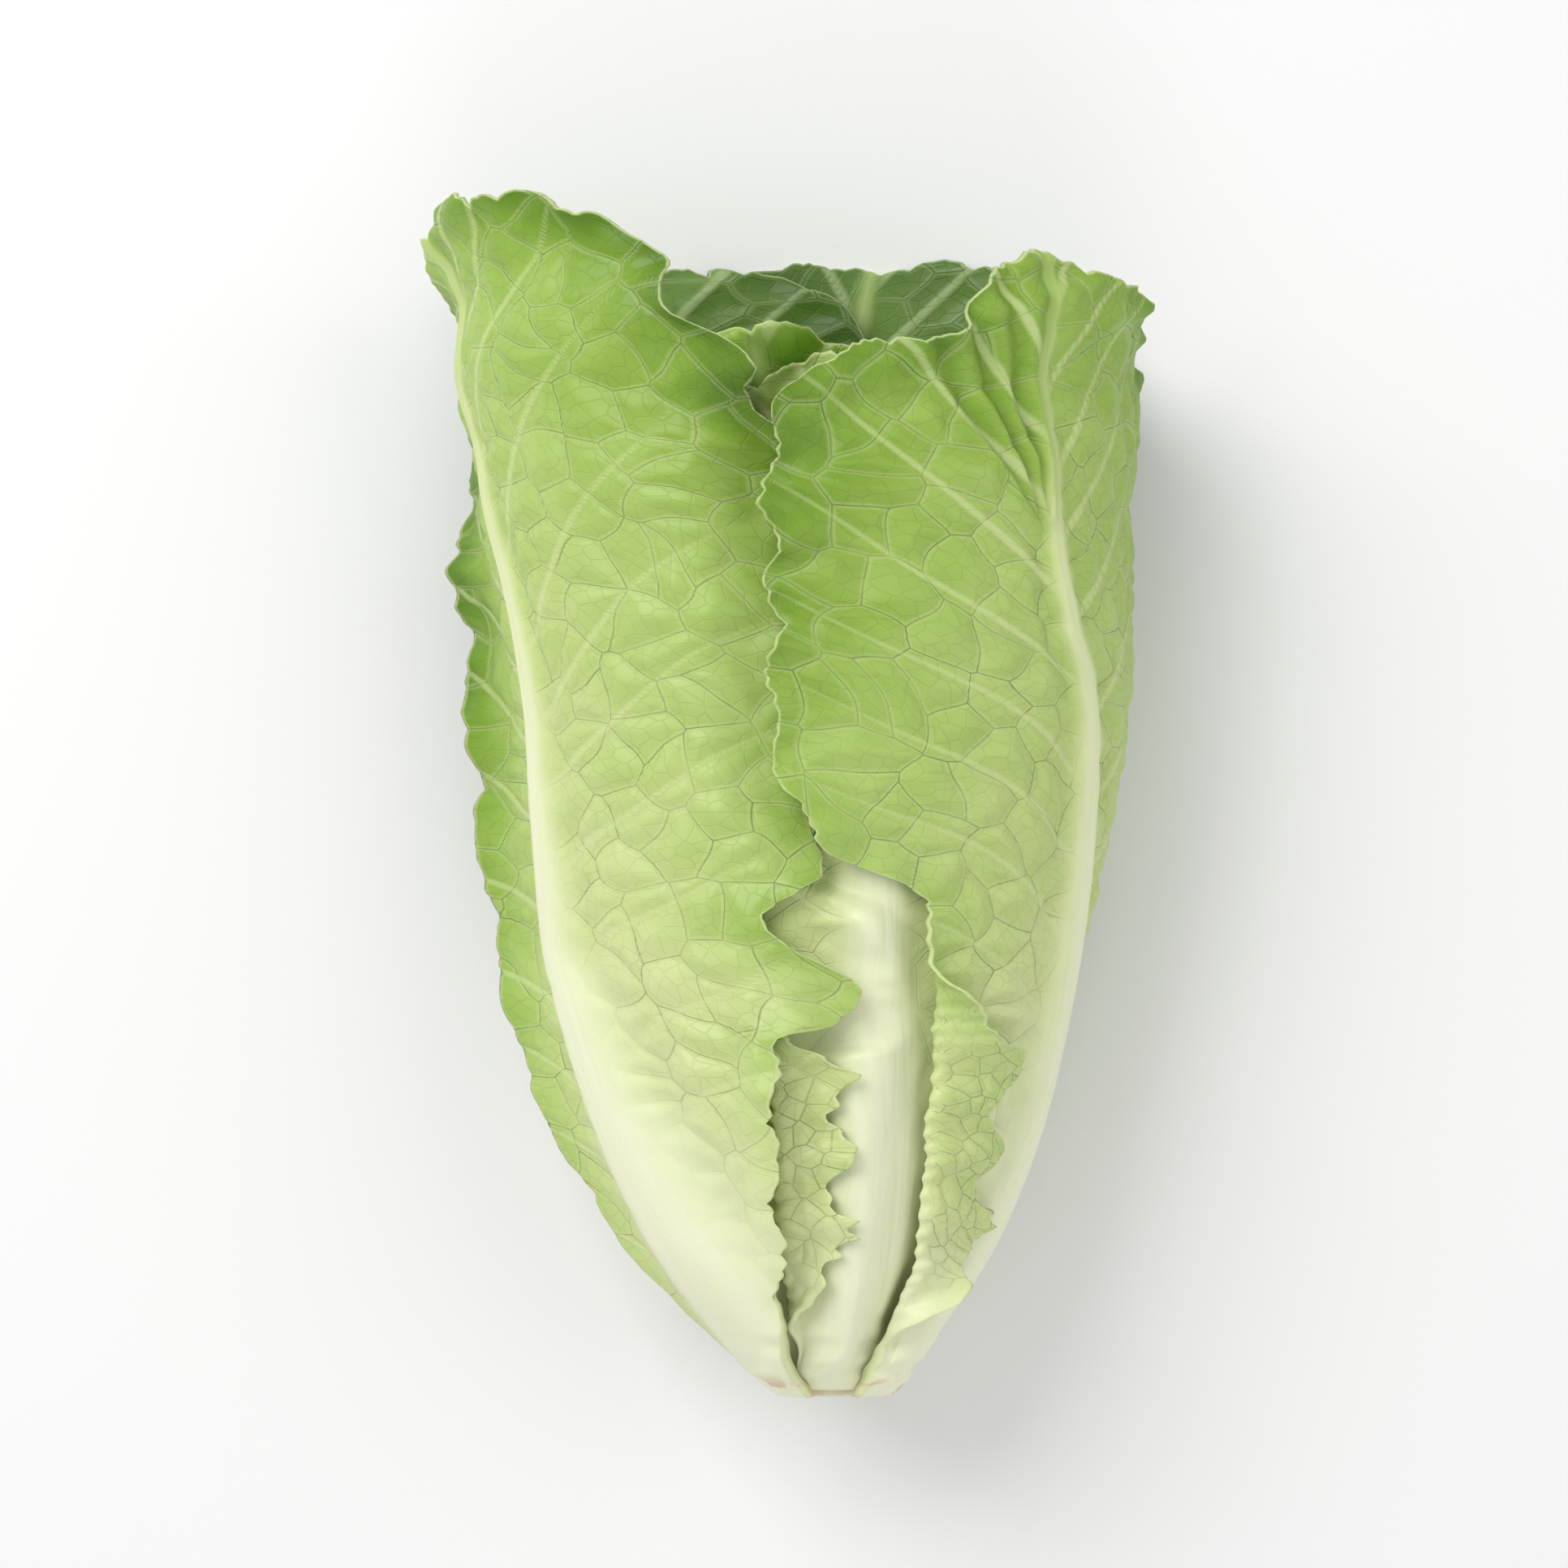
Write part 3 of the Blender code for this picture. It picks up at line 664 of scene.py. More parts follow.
def margin_lift(leaf, v, u, height, azimuth, room, is_open):
    """How far the waves and ruffles of the margin lift the blade from its layer."""
    share = np.clip(length_share(leaf, height), 0, 1)
    margin = 1 - (1 - np.abs(v) ** 4) * (1 - u**6)
    wave = np.sin(2 * math.pi * height / WAVE_LENGTH + leaf["phase"] + 3 * v * share)
    small = np.sin(2 * math.pi * (height + SMALL_WAVE_SLANT * v) / SMALL_WAVE + 2 * np.sin(height / 11)
                   + leaf["phase"])
    above_floor = fade((-np.sin(np.radians(azimuth)) - FREE_OF_FLOOR) / FLOOR_SOFTNESS)
    flare = np.where(v > 0, curve(leaf["flare"][1], height), curve(leaf["flare"][0], height))
    frill = SMALL_RUFFLE * (1 + small) * margin**3
    outwards = is_open * margin * (flare + leaf["ruffle"] * share * (0.5 + 0.5 * wave) + share * frill)
    lift = ROOM_WAVE * room * (leaf["slack"] - SLACK_STEP) * wave * margin * share + outwards
    return np.where(lift > 0, lift * above_floor, lift)


def lay(leaf, v, u, face):
    """Places of the sheet's points; face is 1 for the outer face and -1 for the inner one."""
    left = v > 0
    side = np.where(left, 1, -1)
    height = rows_of(leaf, v, u)
    share = np.clip(length_share(leaf, height), 0, 1)
    radius = usual_radius(leaf, height)

    curled = np.where(left, curve(leaf["curl"], height), 0)
    flat = np.radians(side_reach(leaf, left, height)) * radius
    wing = np.where(left, curve(leaf["wing"], height), 0) * (1 + WING_SWAY * np.sin(height / 3.1))
    arc = CURL_RADIUS * math.pi * curled
    rolled = unrolled(np.abs(v), flat, arc, wing, curled)
    from_edge = np.minimum(flat + arc + wing - rolled, rows_of(leaf, v, np.ones_like(u)) - height)
    rolled = rolled + side_outline(leaf, v, height, curled, wing)
    bend = np.clip((rolled - flat) / CURL_RADIUS, 0, math.pi * curled)
    back = np.maximum(rolled - flat - arc, 0)
    along = np.minimum(rolled, flat) + CURL_RADIUS * np.sin(bend) + back * np.cos(bend)
    azimuth = curve(leaf["azimuth"], height) + side * np.degrees(along / radius)

    inner, room, is_open = layer(leaf, azimuth, height)
    thick = thickness(leaf, azimuth, height) * (1 + PROUD_RIB * is_open)
    lift = margin_lift(leaf, v, u, height, azimuth, room, is_open)
    folded = (1 - np.cos(bend)) / 2
    middle = inner + thick / 2 + lift * (1 - folded)
    bumps = BUMP_HEIGHT * np.sin(2 * math.pi * height / BUMP + 1.5 * np.sin(height / 5))
    bumps = bumps * np.sin(bend) * curled
    over_rib = inner + thick + CURL_CLEARANCE + WING / 2 + WING_RISE * (1 + np.sin(height / 2.3))
    middle = middle + (over_rib - middle) * folded + back * np.sin(bend)
    half = (thick + (WING - thick) * folded) / 2 * face
    rooted = min(face, 0) * LEAF_GAP * ROOTED * fade((height - leaf["base"]) / ROOT_LENGTH)
    ray = middle + half * np.cos(bend) + rooted
    azimuth = azimuth - side * np.degrees((half * np.sin(bend) - bumps) / radius)

    angle = direction(azimuth, height)
    x = curve(SIDE_SHIFT, height) + ray * np.cos(angle)
    z = np.maximum(AXIS_LIFT + ray * np.sin(angle), 0)
    points = np.stack([x, height, z], axis=-1) + PLACE
    notes = {
        "rolled": rolled,
        "height": height,
        "share": share,
        "open": is_open,
        "folded": folded,
        "side": side,
        "rib": rib_share(leaf, azimuth, height) * (1 - folded),
        "room": room,
        "from_edge": from_edge,
        "above_table": points[:, 2],
    }
    return points, notes


# %% [markdown]
# ## From a grid to a leaf
#
# The sheet starts as Blender's grid, gets its second face and its rim from Solidify, and is then laid in
# its place. The grid is fine where a leaf shows and coarse deep inside the head. Each entry says how many
# columns lie right and left of the rib and how many rows there are, and no leaf reaches 200,000 triangles.

# %% Sizes of the grids
GRIDS = {
    0: (58, 90, 318),
    1: (88, 46, 300),
    2: (56, 56, 180),
    3: (34, 70, 280),
    4: (58, 58, 190),
    5: (42, 42, 190),
    6: (52, 52, 190),
}
INNER_GRID = (32, 30, 76)


def add_sheet(name, right, left, rows):
    """A grid with two faces and a rim, from -1 to 1 both ways."""
    deselect_all()
    bpy.ops.mesh.primitive_grid_add(x_subdivisions=right + left, y_subdivisions=rows, size=2)
    sheet = bpy.context.active_object
    sheet.name = name
    sheet.data.name = name
    wall = sheet.modifiers.new("second face", "SOLIDIFY")
    wall.thickness = 1
    wall.offset = -1
    bpy.ops.object.modifier_apply(modifier=wall.name)
    return sheet


def coordinates(mesh):
    flat = np.empty(len(mesh.vertices) * 3)
    mesh.vertices.foreach_get("co", flat)
    return flat.reshape(-1, 3)


def set_coordinates(mesh, points):
    mesh.vertices.foreach_set("co", np.ascontiguousarray(points, dtype=np.float32).ravel())
    mesh.update()


def volume(mesh):
    """The volume that a closed mesh of quads holds; it is negative where the faces point inwards."""
    mesh.calc_loop_triangles()
    corners = np.empty(len(mesh.loop_triangles) * 3, int)
    mesh.loop_triangles.foreach_get("vertices", corners)
    a, b, c = coordinates(mesh)[corners.reshape(-1, 3)].transpose(1, 0, 2)
    return float(np.einsum("ij,ij->i", a, np.cross(b, c)).sum() / 6)


# %% [markdown]
# ## Side veins
#
# The rib sends a vein out to each side every 20 mm or so. Low down the veins leave it at a wide angle;
# towards the tip they leave it ever more steeply, so that the rib ends in a fan. Each is about 2 mm wide
# where it starts and thins out over 75 mm. They are pale, stand a little proud of the outer face, and hold
# the puffed blade down.

# %% Side veins
VEIN_EVERY = 21.0
VEIN_COUNT = 13
VEIN_REACH = 75.0
VEIN_WIDTH = 0.95
VEIN_END_WIDTH = 0.2
VEIN_RIDGE = 0.5
LOWEST_RISE = 0.55
HIGHEST_RISE = 2.3
LOWEST_VEIN = 18
LEFT_VEINS_UP = 8
VEIN_SHIFT = 2.5
VEIN_SWAY = 1.3
VEIN_SWAY_LENGTH = 8
VEIN_BEND = 0.2
STEEPENING = 2.2
NO_VEIN = 99.0


def side_veins_near(leaf, notes):
    """The distance to the nearest side vein in millimetres, and the same in half widths of that vein."""
    out = np.abs(notes["rolled"])
    nearest = np.full(len(out), NO_VEIN)
    relative = np.full(len(out), NO_VEIN)
    half = VEIN_WIDTH * np.clip(1 - out / VEIN_REACH, 0, 1) + VEIN_END_WIDTH
    for number in range(VEIN_COUNT):
        uneven = VEIN_SHIFT * math.sin(5 * number + leaf["phase"])
        start = leaf["base"] + LOWEST_VEIN + VEIN_EVERY * number + uneven
        start = start + LEFT_VEINS_UP * (notes["side"] > 0)
        share = np.clip((start - leaf["base"]) / (leaf["tip"] - leaf["base"]), 0, 1)
        rise = LOWEST_RISE + (HIGHEST_RISE - LOWEST_RISE) * share**STEEPENING
        sway = VEIN_SWAY * np.sin(out / VEIN_SWAY_LENGTH + number + leaf["phase"])
        course = start + rise * out * (1 - VEIN_BEND * out / VEIN_REACH) + sway
        away = np.abs(notes["height"] - course) / np.sqrt(1 + rise**2)
        nearest = np.minimum(nearest, away)
        relative = np.minimum(relative, away / half)
    return nearest, relative


# %% [markdown]
# ## The fan at the top of the first leaf
#
# Near its tip the first leaf is gathered beside its rib: three folds spread from the rib like a fan, and
# they are greener than the blade round them, and greener still in their valleys, where the extra green is
# painted shade. They are a wave round the point where the fan starts, which lifts both faces alike. It only
# lifts, because nothing lies outside this leaf, but another leaf lies inside it.

# %% Folds that spread from the rib
FAN_LEAF = 0
FAN_FROM = 208
FAN_SPREAD = math.radians(25)
FAN_FOLDS = 3
FAN_HEIGHT = 2.4
FAN_START = 30


def fan_of_folds(leaf, v, notes):
    """How far the folds lift the leaf in millimetres, and where their valleys are, from 0 to 1."""
    if leaf["order"] != FAN_LEAF:
        return np.zeros(len(v)), np.zeros(len(v))
    up = notes["height"] - FAN_FROM
    lean = np.arctan2(notes["rolled"], np.maximum(up, 1))
    among = (v > 0) * (1 - fade(up / FAN_START)) * fade((lean - FAN_SPREAD) / (0.5 * FAN_SPREAD))
    ridge = 0.5 - 0.5 * np.cos(2 * math.pi * FAN_FOLDS * lean / FAN_SPREAD)
    return FAN_HEIGHT * among * ridge, among * (1 - ridge)


# %% [markdown]
# ## Puffed cells between the veins
#
# Between its veins a lettuce leaf is puffed like a quilt, because the blade grows faster than the veins
# that hold it. The cells are 10 to 15 mm wide, have straight sides, and lie in lines that rise outwards
# from the rib like the side veins. A Voronoi pattern has just such cells. It is laid on the rolled out
# leaf, in an attribute named cells that counts in cells instead of millimetres, so that the shape here and
# the vein colours in the material below use one and the same pattern. A small geometry node tree lifts the
# middle of every cell. Where the heart lies on the table its weight has pressed the cells flat.

# %% Cell coordinates
CELL = 12.0
CELL_RANDOMNESS = 0.85
CELL_RISE = math.radians(36)
CELL_WOBBLE = 0.12
FINE_WOBBLE = 0.04
PUFF = 1.9
TIGHT_PUFF = 0.4
FOOT_PUFF = 0.25
FULL_PUFF_FROM = 0.3
PUFF_GROWTH = 0.25
ROOM_PUFF = 0.12
FLAT_MIDDLE = 0.42
DOME_ROUNDNESS = 0.7
WING_PUFF = 0.9
WING_CELLS = 2.4
PRESSED = 5
SIDE_OFFSET = 40
LEAF_OFFSET = 7.3


def cell_coordinates(leaf, notes):
    """Two coordinates that count cells, along lines that rise outwards from the rib."""
    out = (notes["rolled"] * math.cos(CELL_RISE) + notes["height"] * math.sin(CELL_RISE)) / CELL
    up = (notes["height"] * math.cos(CELL_RISE) - notes["rolled"] * math.sin(CELL_RISE)) / CELL
    wobble_out = CELL_WOBBLE * np.sin(2.3 * up + leaf["phase"]) + FINE_WOBBLE * np.sin(4.9 * up - 2.1 * out)
    wobble_up = CELL_WOBBLE * np.sin(1.9 * out + leaf["phase"]) + FINE_WOBBLE * np.sin(4.3 * out + 3.1 * up)
    shift = SIDE_OFFSET * (notes["side"] > 0) + LEAF_OFFSET * leaf["order"]
    return np.stack([out + wobble_out + shift, up + wobble_up, np.zeros_like(out)], axis=-1)


def puff_height(notes):
    """How far the middle of a cell is lifted, in metres; little where leaves lie tight or at the rib."""
    grown = FOOT_PUFF + (1 - FOOT_PUFF) * fade((FULL_PUFF_FROM - notes["share"]) / PUFF_GROWTH)
    room = np.clip(notes["open"] + ROOM_PUFF * notes["room"], 0, 1)
    lifted = (TIGHT_PUFF + (PUFF - TIGHT_PUFF) * room) * grown * (1 - notes["rib"])
    lifted = lifted * fade(1 - notes["above_table"] / PRESSED)
    return MM * (lifted * (1 - notes["folded"]) - WING_PUFF * notes["folded"])


# %% Geometry nodes that puff the cells
def store(mesh, name, kind, values):
    """Keeps one value or vector for each point of the mesh."""
    attribute = mesh.attributes.new(name, kind, "POINT")
    field = "vector" if kind == "FLOAT_VECTOR" else "value"
    attribute.data.foreach_set(field, np.ascontiguousarray(values, dtype=np.float32).ravel())


def cell_borders(tree, cells, scale):
    """The distance to the border of the nearest cell."""
    settings = {"Vector": cells, "Scale": scale, "Randomness": CELL_RANDOMNESS}
    return add_node(tree, "ShaderNodeTexVoronoi", settings, out="Distance", voronoi_dimensions="2D",
                    feature="DISTANCE_TO_EDGE")


def make_puffing():
    """Lifts each point by the attribute puff along the attribute outwards, more in the middle of its cell."""
    tree = bpy.data.node_groups.new("puffed cells", "GeometryNodeTree")
    tree.interface.new_socket("Geometry", in_out="INPUT", socket_type="NodeSocketGeometry")
    tree.interface.new_socket("Geometry", in_out="OUTPUT", socket_type="NodeSocketGeometry")
    leaf = add_node(tree, "NodeGroupInput")
    cells = add_node(tree, "GeometryNodeInputNamedAttribute", {0: "cells"}, data_type="FLOAT_VECTOR")
    outwards = add_node(tree, "GeometryNodeInputNamedAttribute", {0: "outwards"}, data_type="FLOAT_VECTOR")
    puff = add_node(tree, "GeometryNodeInputNamedAttribute", {0: "puff"}, data_type="FLOAT")
    edge = cell_borders(tree, cells, 1)
    to_vein = add_node(tree, "GeometryNodeInputNamedAttribute", {0: "to_vein"}, data_type="FLOAT")
    to_vein = add_node(tree, "ShaderNodeMath", {0: to_vein, 1: CELL}, operation="DIVIDE")
    edge = add_node(tree, "ShaderNodeMath", {0: edge, 1: to_vein}, operation="MINIMUM")
    small = cell_borders(tree, cells, WING_CELLS)
    wing = add_node(tree, "GeometryNodeInputNamedAttribute", {0: "wing"}, data_type="FLOAT")
    edge = add_node(tree, "ShaderNodeMix", {0: wing, 2: edge, 3: small}, data_type="FLOAT")
    share = add_node(tree, "ShaderNodeMapRange", {"Value": edge, "From Max": FLAT_MIDDLE})
    dome = add_node(tree, "ShaderNodeMath", {0: share, 1: DOME_ROUNDNESS}, operation="POWER")
    dome = add_node(tree, "ShaderNodeMath", {0: dome, 1: 0.5}, operation="SUBTRACT")
    lift = add_node(tree, "ShaderNodeMath", {0: dome, 1: puff}, operation="MULTIPLY")
    offset = add_node(tree, "ShaderNodeVectorMath", {0: outwards, "Scale": lift}, operation="SCALE")
    puffed = add_node(tree, "GeometryNodeSetPosition", {"Geometry": leaf, "Offset": offset})
    add_node(tree, "NodeGroupOutput", {0: puffed})
    return tree


puffing = make_puffing()

# %% [markdown]
# ## Colour of a leaf
#
# A romaine leaf is nearly white at its foot and along its rib, where no light reached it, and turns green
# upwards and towards its margins. That tone, from 0 for cream to 1 for the deepest green, is worked out for
# each point and kept in an attribute that the material turns into colour. The left part of the second leaf
# stood free of the head and grew in full light, so it is greener, and so is the rim of its right margin. A
# folded wing is cream at its foot and light green above, and the fan of folds is greener than the blade, and
# greener still in its valleys, where the extra green is painted shade.

# %% Tone of a leaf
GREENING = ((0, 0), (0.08, 0.03), (0.16, 0.13), (0.32, 0.32), (0.49, 0.52), (0.7, 0.72), (1, 0.93))
DEPTH_OF_GREEN = {0: 1.06, 1: 0.92, 2: 1.15, 3: 0.8, 4: 1.15, 5: 1.05, 6: 1.12}
PALER_INSIDE = 0.55
SUNLIT_LEFT = 1
MARGIN_GREEN = {1: 0.26}
USUAL_MARGIN_GREEN = 0.05
MARGIN_DEPTH = 14
MARGIN_GREEN_FROM = 0.16
OUTWARD_GREEN = 0.28
EDGE_GREEN = 0.1
PALE_FOOT = 0.1
SUNLIT_GREEN = 0.3
WING_TONE = 0.32
WING_PALE_TO = 0.03
WING_GREENING = 0.2
# The fan's extra tone, full in its valleys and half on its ridges; the valley part is painted shade.
FAN_GREEN_AND_SHADE = 0.2


def tone_of(leaf, v, notes):
    """From 0 for cream to 1 for the deepest green."""
    inner = 1 - PALER_INSIDE * leaf["order"] / (len(LEAVES) - 1)
    depth = DEPTH_OF_GREEN.get(leaf["order"], inner)
    tone = curve(GREENING, notes["share"]) * (1 - OUTWARD_GREEN + OUTWARD_GREEN * np.abs(v) ** 1.5)
    wing = WING_TONE * notes["folded"] * (1 - fade((notes["share"] - WING_PALE_TO) / WING_GREENING))
    tone = np.maximum(tone, wing)
    tone = tone + EDGE_GREEN * np.abs(v) ** 3 * fade((PALE_FOOT - notes["share"]) / PALE_FOOT)
    margin = MARGIN_GREEN.get(leaf["order"], USUAL_MARGIN_GREEN) * (v < 0)
    margin = margin * np.exp(-notes["from_edge"] / MARGIN_DEPTH)
    tone = tone + margin * (1 - fade((notes["share"] - MARGIN_GREEN_FROM) / MARGIN_GREEN_FROM))
    if leaf["order"] == SUNLIT_LEFT:
        sunlit = fade((PALE_FOOT - notes["share"]) / (2 * PALE_FOOT))
        tone = tone + SUNLIT_GREEN * np.where(v > 0, v, 0) * sunlit
    rib = notes["rib"] ** (0.8 + 2 * notes["share"]) * (0.95 - 0.55 * notes["share"] ** 2)
    return np.clip(depth * tone * (1 - rib), 0, 1)


# %% [markdown]
# The next cell makes all fifteen leaves, one step to a function: shape the sheet, keep what is known of its
# points, puff its cells. Each leaf is a sheet of its own that stands for one CAD node, keeps that node's
# form, and rides on the body of the frame.

# %% Make the leaves
def share_across(x, right, left):
    """Across the leaf from -1 to 1, with the rib at 0."""
    rib_at = 2 * right / (right + left) - 1
    return (x - rib_at) / np.where(x > rib_at, 1 - rib_at, 1 + rib_at)


def shape_sheet(sheet, leaf, right, left):
    """Lays the grid's two faces, with the fan and the side veins, and gives back what is known of them."""
    grid = coordinates(sheet.data)
    v = share_across(grid[:, 0], right, left)
    u = (grid[:, 1] + 1) / 2
    points, notes = lay(leaf, v, u, 1)
    under, _ = lay(leaf, v, u, -1)
    outwards = points - under
    outwards = outwards / np.linalg.norm(outwards, axis=1, keepdims=True)
    fan, valleys = fan_of_folds(leaf, v, notes)
    points = points + outwards * fan[:, None]
    under = under + outwards * fan[:, None]
    to_vein, relative = side_veins_near(leaf, notes)
    ridge = VEIN_RIDGE * np.exp(-(relative**2)) * np.clip(1 - notes["rolled"] / VEIN_REACH, 0, 1)
    ridge = ridge * (1 - notes["rib"]) * (1 - notes["folded"]) * notes["share"] ** 0.5
    points = points + outwards * ridge[:, None]
    is_under = grid[:, 2] < -0.5
    points[is_under] = under[is_under]
    set_coordinates(sheet.data, points * MM)
    notes.update({"across": v, "outwards": outwards, "to_vein": to_vein, "vein": relative})
    # The fan is greener than the blade, and greener in its valleys: that valley green is painted shade.
    notes["fan_green"] = FAN_GREEN_AND_SHADE * (valleys + fan / FAN_HEIGHT / 2)
    return notes


def store_notes(mesh, leaf, notes):
    """Keeps on the mesh what the puffing and the material read."""
    v = notes["across"]
    store(mesh, "cells", "FLOAT_VECTOR", cell_coordinates(leaf, notes))
    phase = np.full(len(v), leaf["phase"])
    rolled_out = np.stack([notes["side"] * notes["rolled"], notes["height"], phase], axis=-1)
    tone = tone_of(leaf, v, notes) + notes["fan_green"]
    store(mesh, "rolled", "FLOAT_VECTOR", rolled_out)
    store(mesh, "tone", "FLOAT", np.clip(tone, 0, 1))
    store(mesh, "rib", "FLOAT", notes["rib"])
    store(mesh, "from_edge", "FLOAT", notes["from_edge"])
    store(mesh, "vein", "FLOAT", notes["vein"])
    store(mesh, "wing", "FLOAT", notes["folded"])
    store(mesh, "to_vein", "FLOAT", notes["to_vein"])
    store(mesh, "outwards", "FLOAT_VECTOR", notes["outwards"])
    store(mesh, "puff", "FLOAT", puff_height(notes))


def puff_cells(sheet):
    """Puffs the cells, drops what only the puffing read, and keeps the leaf above the table."""
    puffer = sheet.modifiers.new("puffed cells", "NODES")
    puffer.node_group = puffing
    bpy.ops.object.modifier_apply(modifier=puffer.name)
    mesh = sheet.data
    for finished in ("outwards", "puff", "to_vein"):
        mesh.attributes.remove(mesh.attributes[finished])
    points = coordinates(mesh)
    points[:, 2] = np.maximum(points[:, 2], 0)
    set_coordinates(mesh, points)


def make_leaf_piece(leaf):
    """One finished leaf, which replaces its CAD node."""
    right, left, rows = GRIDS.get(leaf["order"], INNER_GRID)
    sheet = add_sheet(f"romaine_{leaf['name']}", right, left, rows)
    notes = shape_sheet(sheet, leaf, right, left)
    store_notes(sheet.data, leaf, notes)
    puff_cells(sheet)
    if volume(sheet.data) < 0:
        sheet.data.flip_normals()
    bpy.ops.object.shade_smooth()
    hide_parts(leaf["name"])
    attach(sheet, "root")
    return sheet


leaf_pieces = [make_leaf_piece(leaf) for leaf in LEAVES]
print("triangles:", {piece.name: 2 * len(piece.data.polygons) for piece in leaf_pieces})

# %% [markdown]
# ## The material of the leaves
#
# A lettuce leaf is a thin wet sheet under a waxy skin. To the eye that is a satin gloss on a colour that
# seems to glow a little, because light spreads inside the sheet. Principled has a subsurface layer for the
# glow, and a roughness of about 0.4 gives the satin. Five things are drawn on it: the cream to green colour
# by tone, the net of hair-thin creases round the cells, darkened with painted shade, with a faint pale vein
# under each, the pale side veins that leave the rib, the thin pale line along the margin, and the fine
# stripes of the rib's fibres. A finer net inside the cells gets a fainter painted shade too. The cells of a
# folded wing are smaller. Last come a few pinkish brown patches at the foot, where the cut leaf meets the
# air.

# %% Shader parts of a leaf
NET_CREASE = 0.085 / CELL
NET_VEIN = 0.45 / CELL
FINE_LINE = 0.1 / CELL
EDGE_LINE = 0.3
THREAD_CORE = 0.6
THREAD_HALO = 2.2
MOTTLE = 0.16
MOTTLES_IN_A_CELL = 0.7
FADES_IN_A_CELL = 0.8
FINER_CELLS = 3.3
NET_SHARE = 0.35
FINE_SHARE = 0.2
CREASE_SHADE_STRENGTH = 0.6
CREASE_FADES = (0.36, 0.62)
FAINTEST_CREASE = 0.25
VEIN_STRENGTH = 0.55
EDGE_STRENGTH = 0.6
BROWN_STRENGTH = 0.8
RIB_STRIPE = 1.5
STRIPE_TONE = 0.03
BROWN_UP_TO = (2.0, 8.0)
BROWN_PATCH = 6.25
SIDE_VEIN = (0.3, 1.3)
GREEN_ENOUGH = (0.06, 0.34)
FADING_FROM = 6
FADED_VEIN = 0.15


def line(tree, distance, start, end, strength):
    """A line with soft borders: full strength nearer than start, none farther than end."""
    near = add_node(tree, "ShaderNodeMapRange", {
        "Value": distance, "From Min": start, "From Max": end, "To Min": 1.0, "To Max": 0.0},
        interpolation_type="SMOOTHSTEP")
    return add_node(tree, "ShaderNodeMath", {0: near, 1: strength}, operation="MULTIPLY")


def thread(tree, distance, half_width, strength):
    """A line of a given half width, soft inside and outside it."""
    return line(tree, distance, half_width * THREAD_CORE, half_width * THREAD_HALO, strength)


def side_veins(tree, rolled, strength):
    """Pale side veins, fainter towards the margin."""
    distance = add_node(tree, "ShaderNodeAttribute", out="Fac", attribute_name="vein")
    out = add_node(tree, "ShaderNodeSeparateXYZ", {0: rolled}, out="X")
    out = add_node(tree, "ShaderNodeMath", {0: out}, operation="ABSOLUTE")
    near = add_node(tree, "ShaderNodeMapRange", {
        "Value": out, "From Min": FADING_FROM, "From Max": VEIN_REACH, "To Min": 1.0, "To Max": FADED_VEIN})
    faded = line(tree, distance, *SIDE_VEIN, near)
    return add_node(tree, "ShaderNodeMath", {0: faded, 1: strength}, operation="MULTIPLY")


def foot_browning(tree, rolled):
    """Patches of pinkish brown where the leaf was cut from the stem."""
    height = add_node(tree, "ShaderNodeSeparateXYZ", {0: rolled}, out="Y")
    patches = add_node(tree, "ShaderNodeTexNoise", {
        "Vector": rolled, "Scale": 1 / BROWN_PATCH, "Detail": 3.0})
    patches = add_node(tree, "ShaderNodeMapRange", {"Value": patches, "From Min": 0.5, "From Max": 0.62},
                       interpolation_type="SMOOTHSTEP")
    low = line(tree, height, *BROWN_UP_TO, patches)
    return add_node(tree, "ShaderNodeMath", {0: low, 1: BROWN_STRENGTH}, operation="MULTIPLY")


def rib_fibres(tree, rolled):
    """Fine stripes along the rib, one every RIB_STRIPE millimetres, that waver a little."""
    parts = {axis: add_node(tree, "ShaderNodeSeparateXYZ", {0: rolled}, out=axis) for axis in "XYZ"}
    slow = add_node(tree, "ShaderNodeMath", {0: parts["Y"], 1: 0.06}, operation="MULTIPLY")
    stretched = add_node(tree, "ShaderNodeCombineXYZ", {"X": parts["X"], "Y": slow, "Z": parts["Z"]})
    return add_node(tree, "ShaderNodeTexNoise", {"Vector": stretched, "Scale": 1 / RIB_STRIPE, "Detail": 2.0})


def mottled_green(tree, greens, cells, tone, rib, fibres):
    """Cream to green by tone, with soft mottles about 17 mm wide and the stripes of the rib's fibres."""
    mottle = add_node(tree, "ShaderNodeTexNoise", {
        "Vector": cells, "Scale": MOTTLES_IN_A_CELL, "Detail": 4.0})
    mottle = add_node(tree, "ShaderNodeMapRange", {"Value": mottle, "To Min": -MOTTLE, "To Max": MOTTLE})
    greenness = add_node(tree, "ShaderNodeMath", {0: tone, 1: 0.5}, operation="POWER")
    mottle = add_node(tree, "ShaderNodeMath", {0: mottle, 1: greenness}, operation="MULTIPLY")
    stripe = add_node(tree, "ShaderNodeMapRange", {
        "Value": fibres, "From Min": 0.3, "From Max": 0.7, "To Min": -STRIPE_TONE, "To Max": STRIPE_TONE})
    tone = add_node(tree, "ShaderNodeMath", {0: tone, 1: mottle}, operation="ADD")
    tone = add_node(tree, "ShaderNodeMath", {0: stripe, 1: rib, 2: tone}, operation="MULTIPLY_ADD",
                    use_clamp=True)
    return add_node(tree, "ShaderNodeValToRGB", {0: tone}, stops=greens)


def net_borders(tree, cells):
    """The distance to the nearest cell border, of the small cells where the leaf is a folded wing."""
    wing = add_node(tree, "ShaderNodeAttribute", out="Fac", attribute_name="wing")
    small = add_node(tree, "ShaderNodeMath", {0: cell_borders(tree, cells, WING_CELLS), 1: WING_CELLS},
                     operation="DIVIDE")
    return add_node(tree, "ShaderNodeMix", {0: wing, 2: cell_borders(tree, cells, 1), 3: small},
                    data_type="FLOAT")


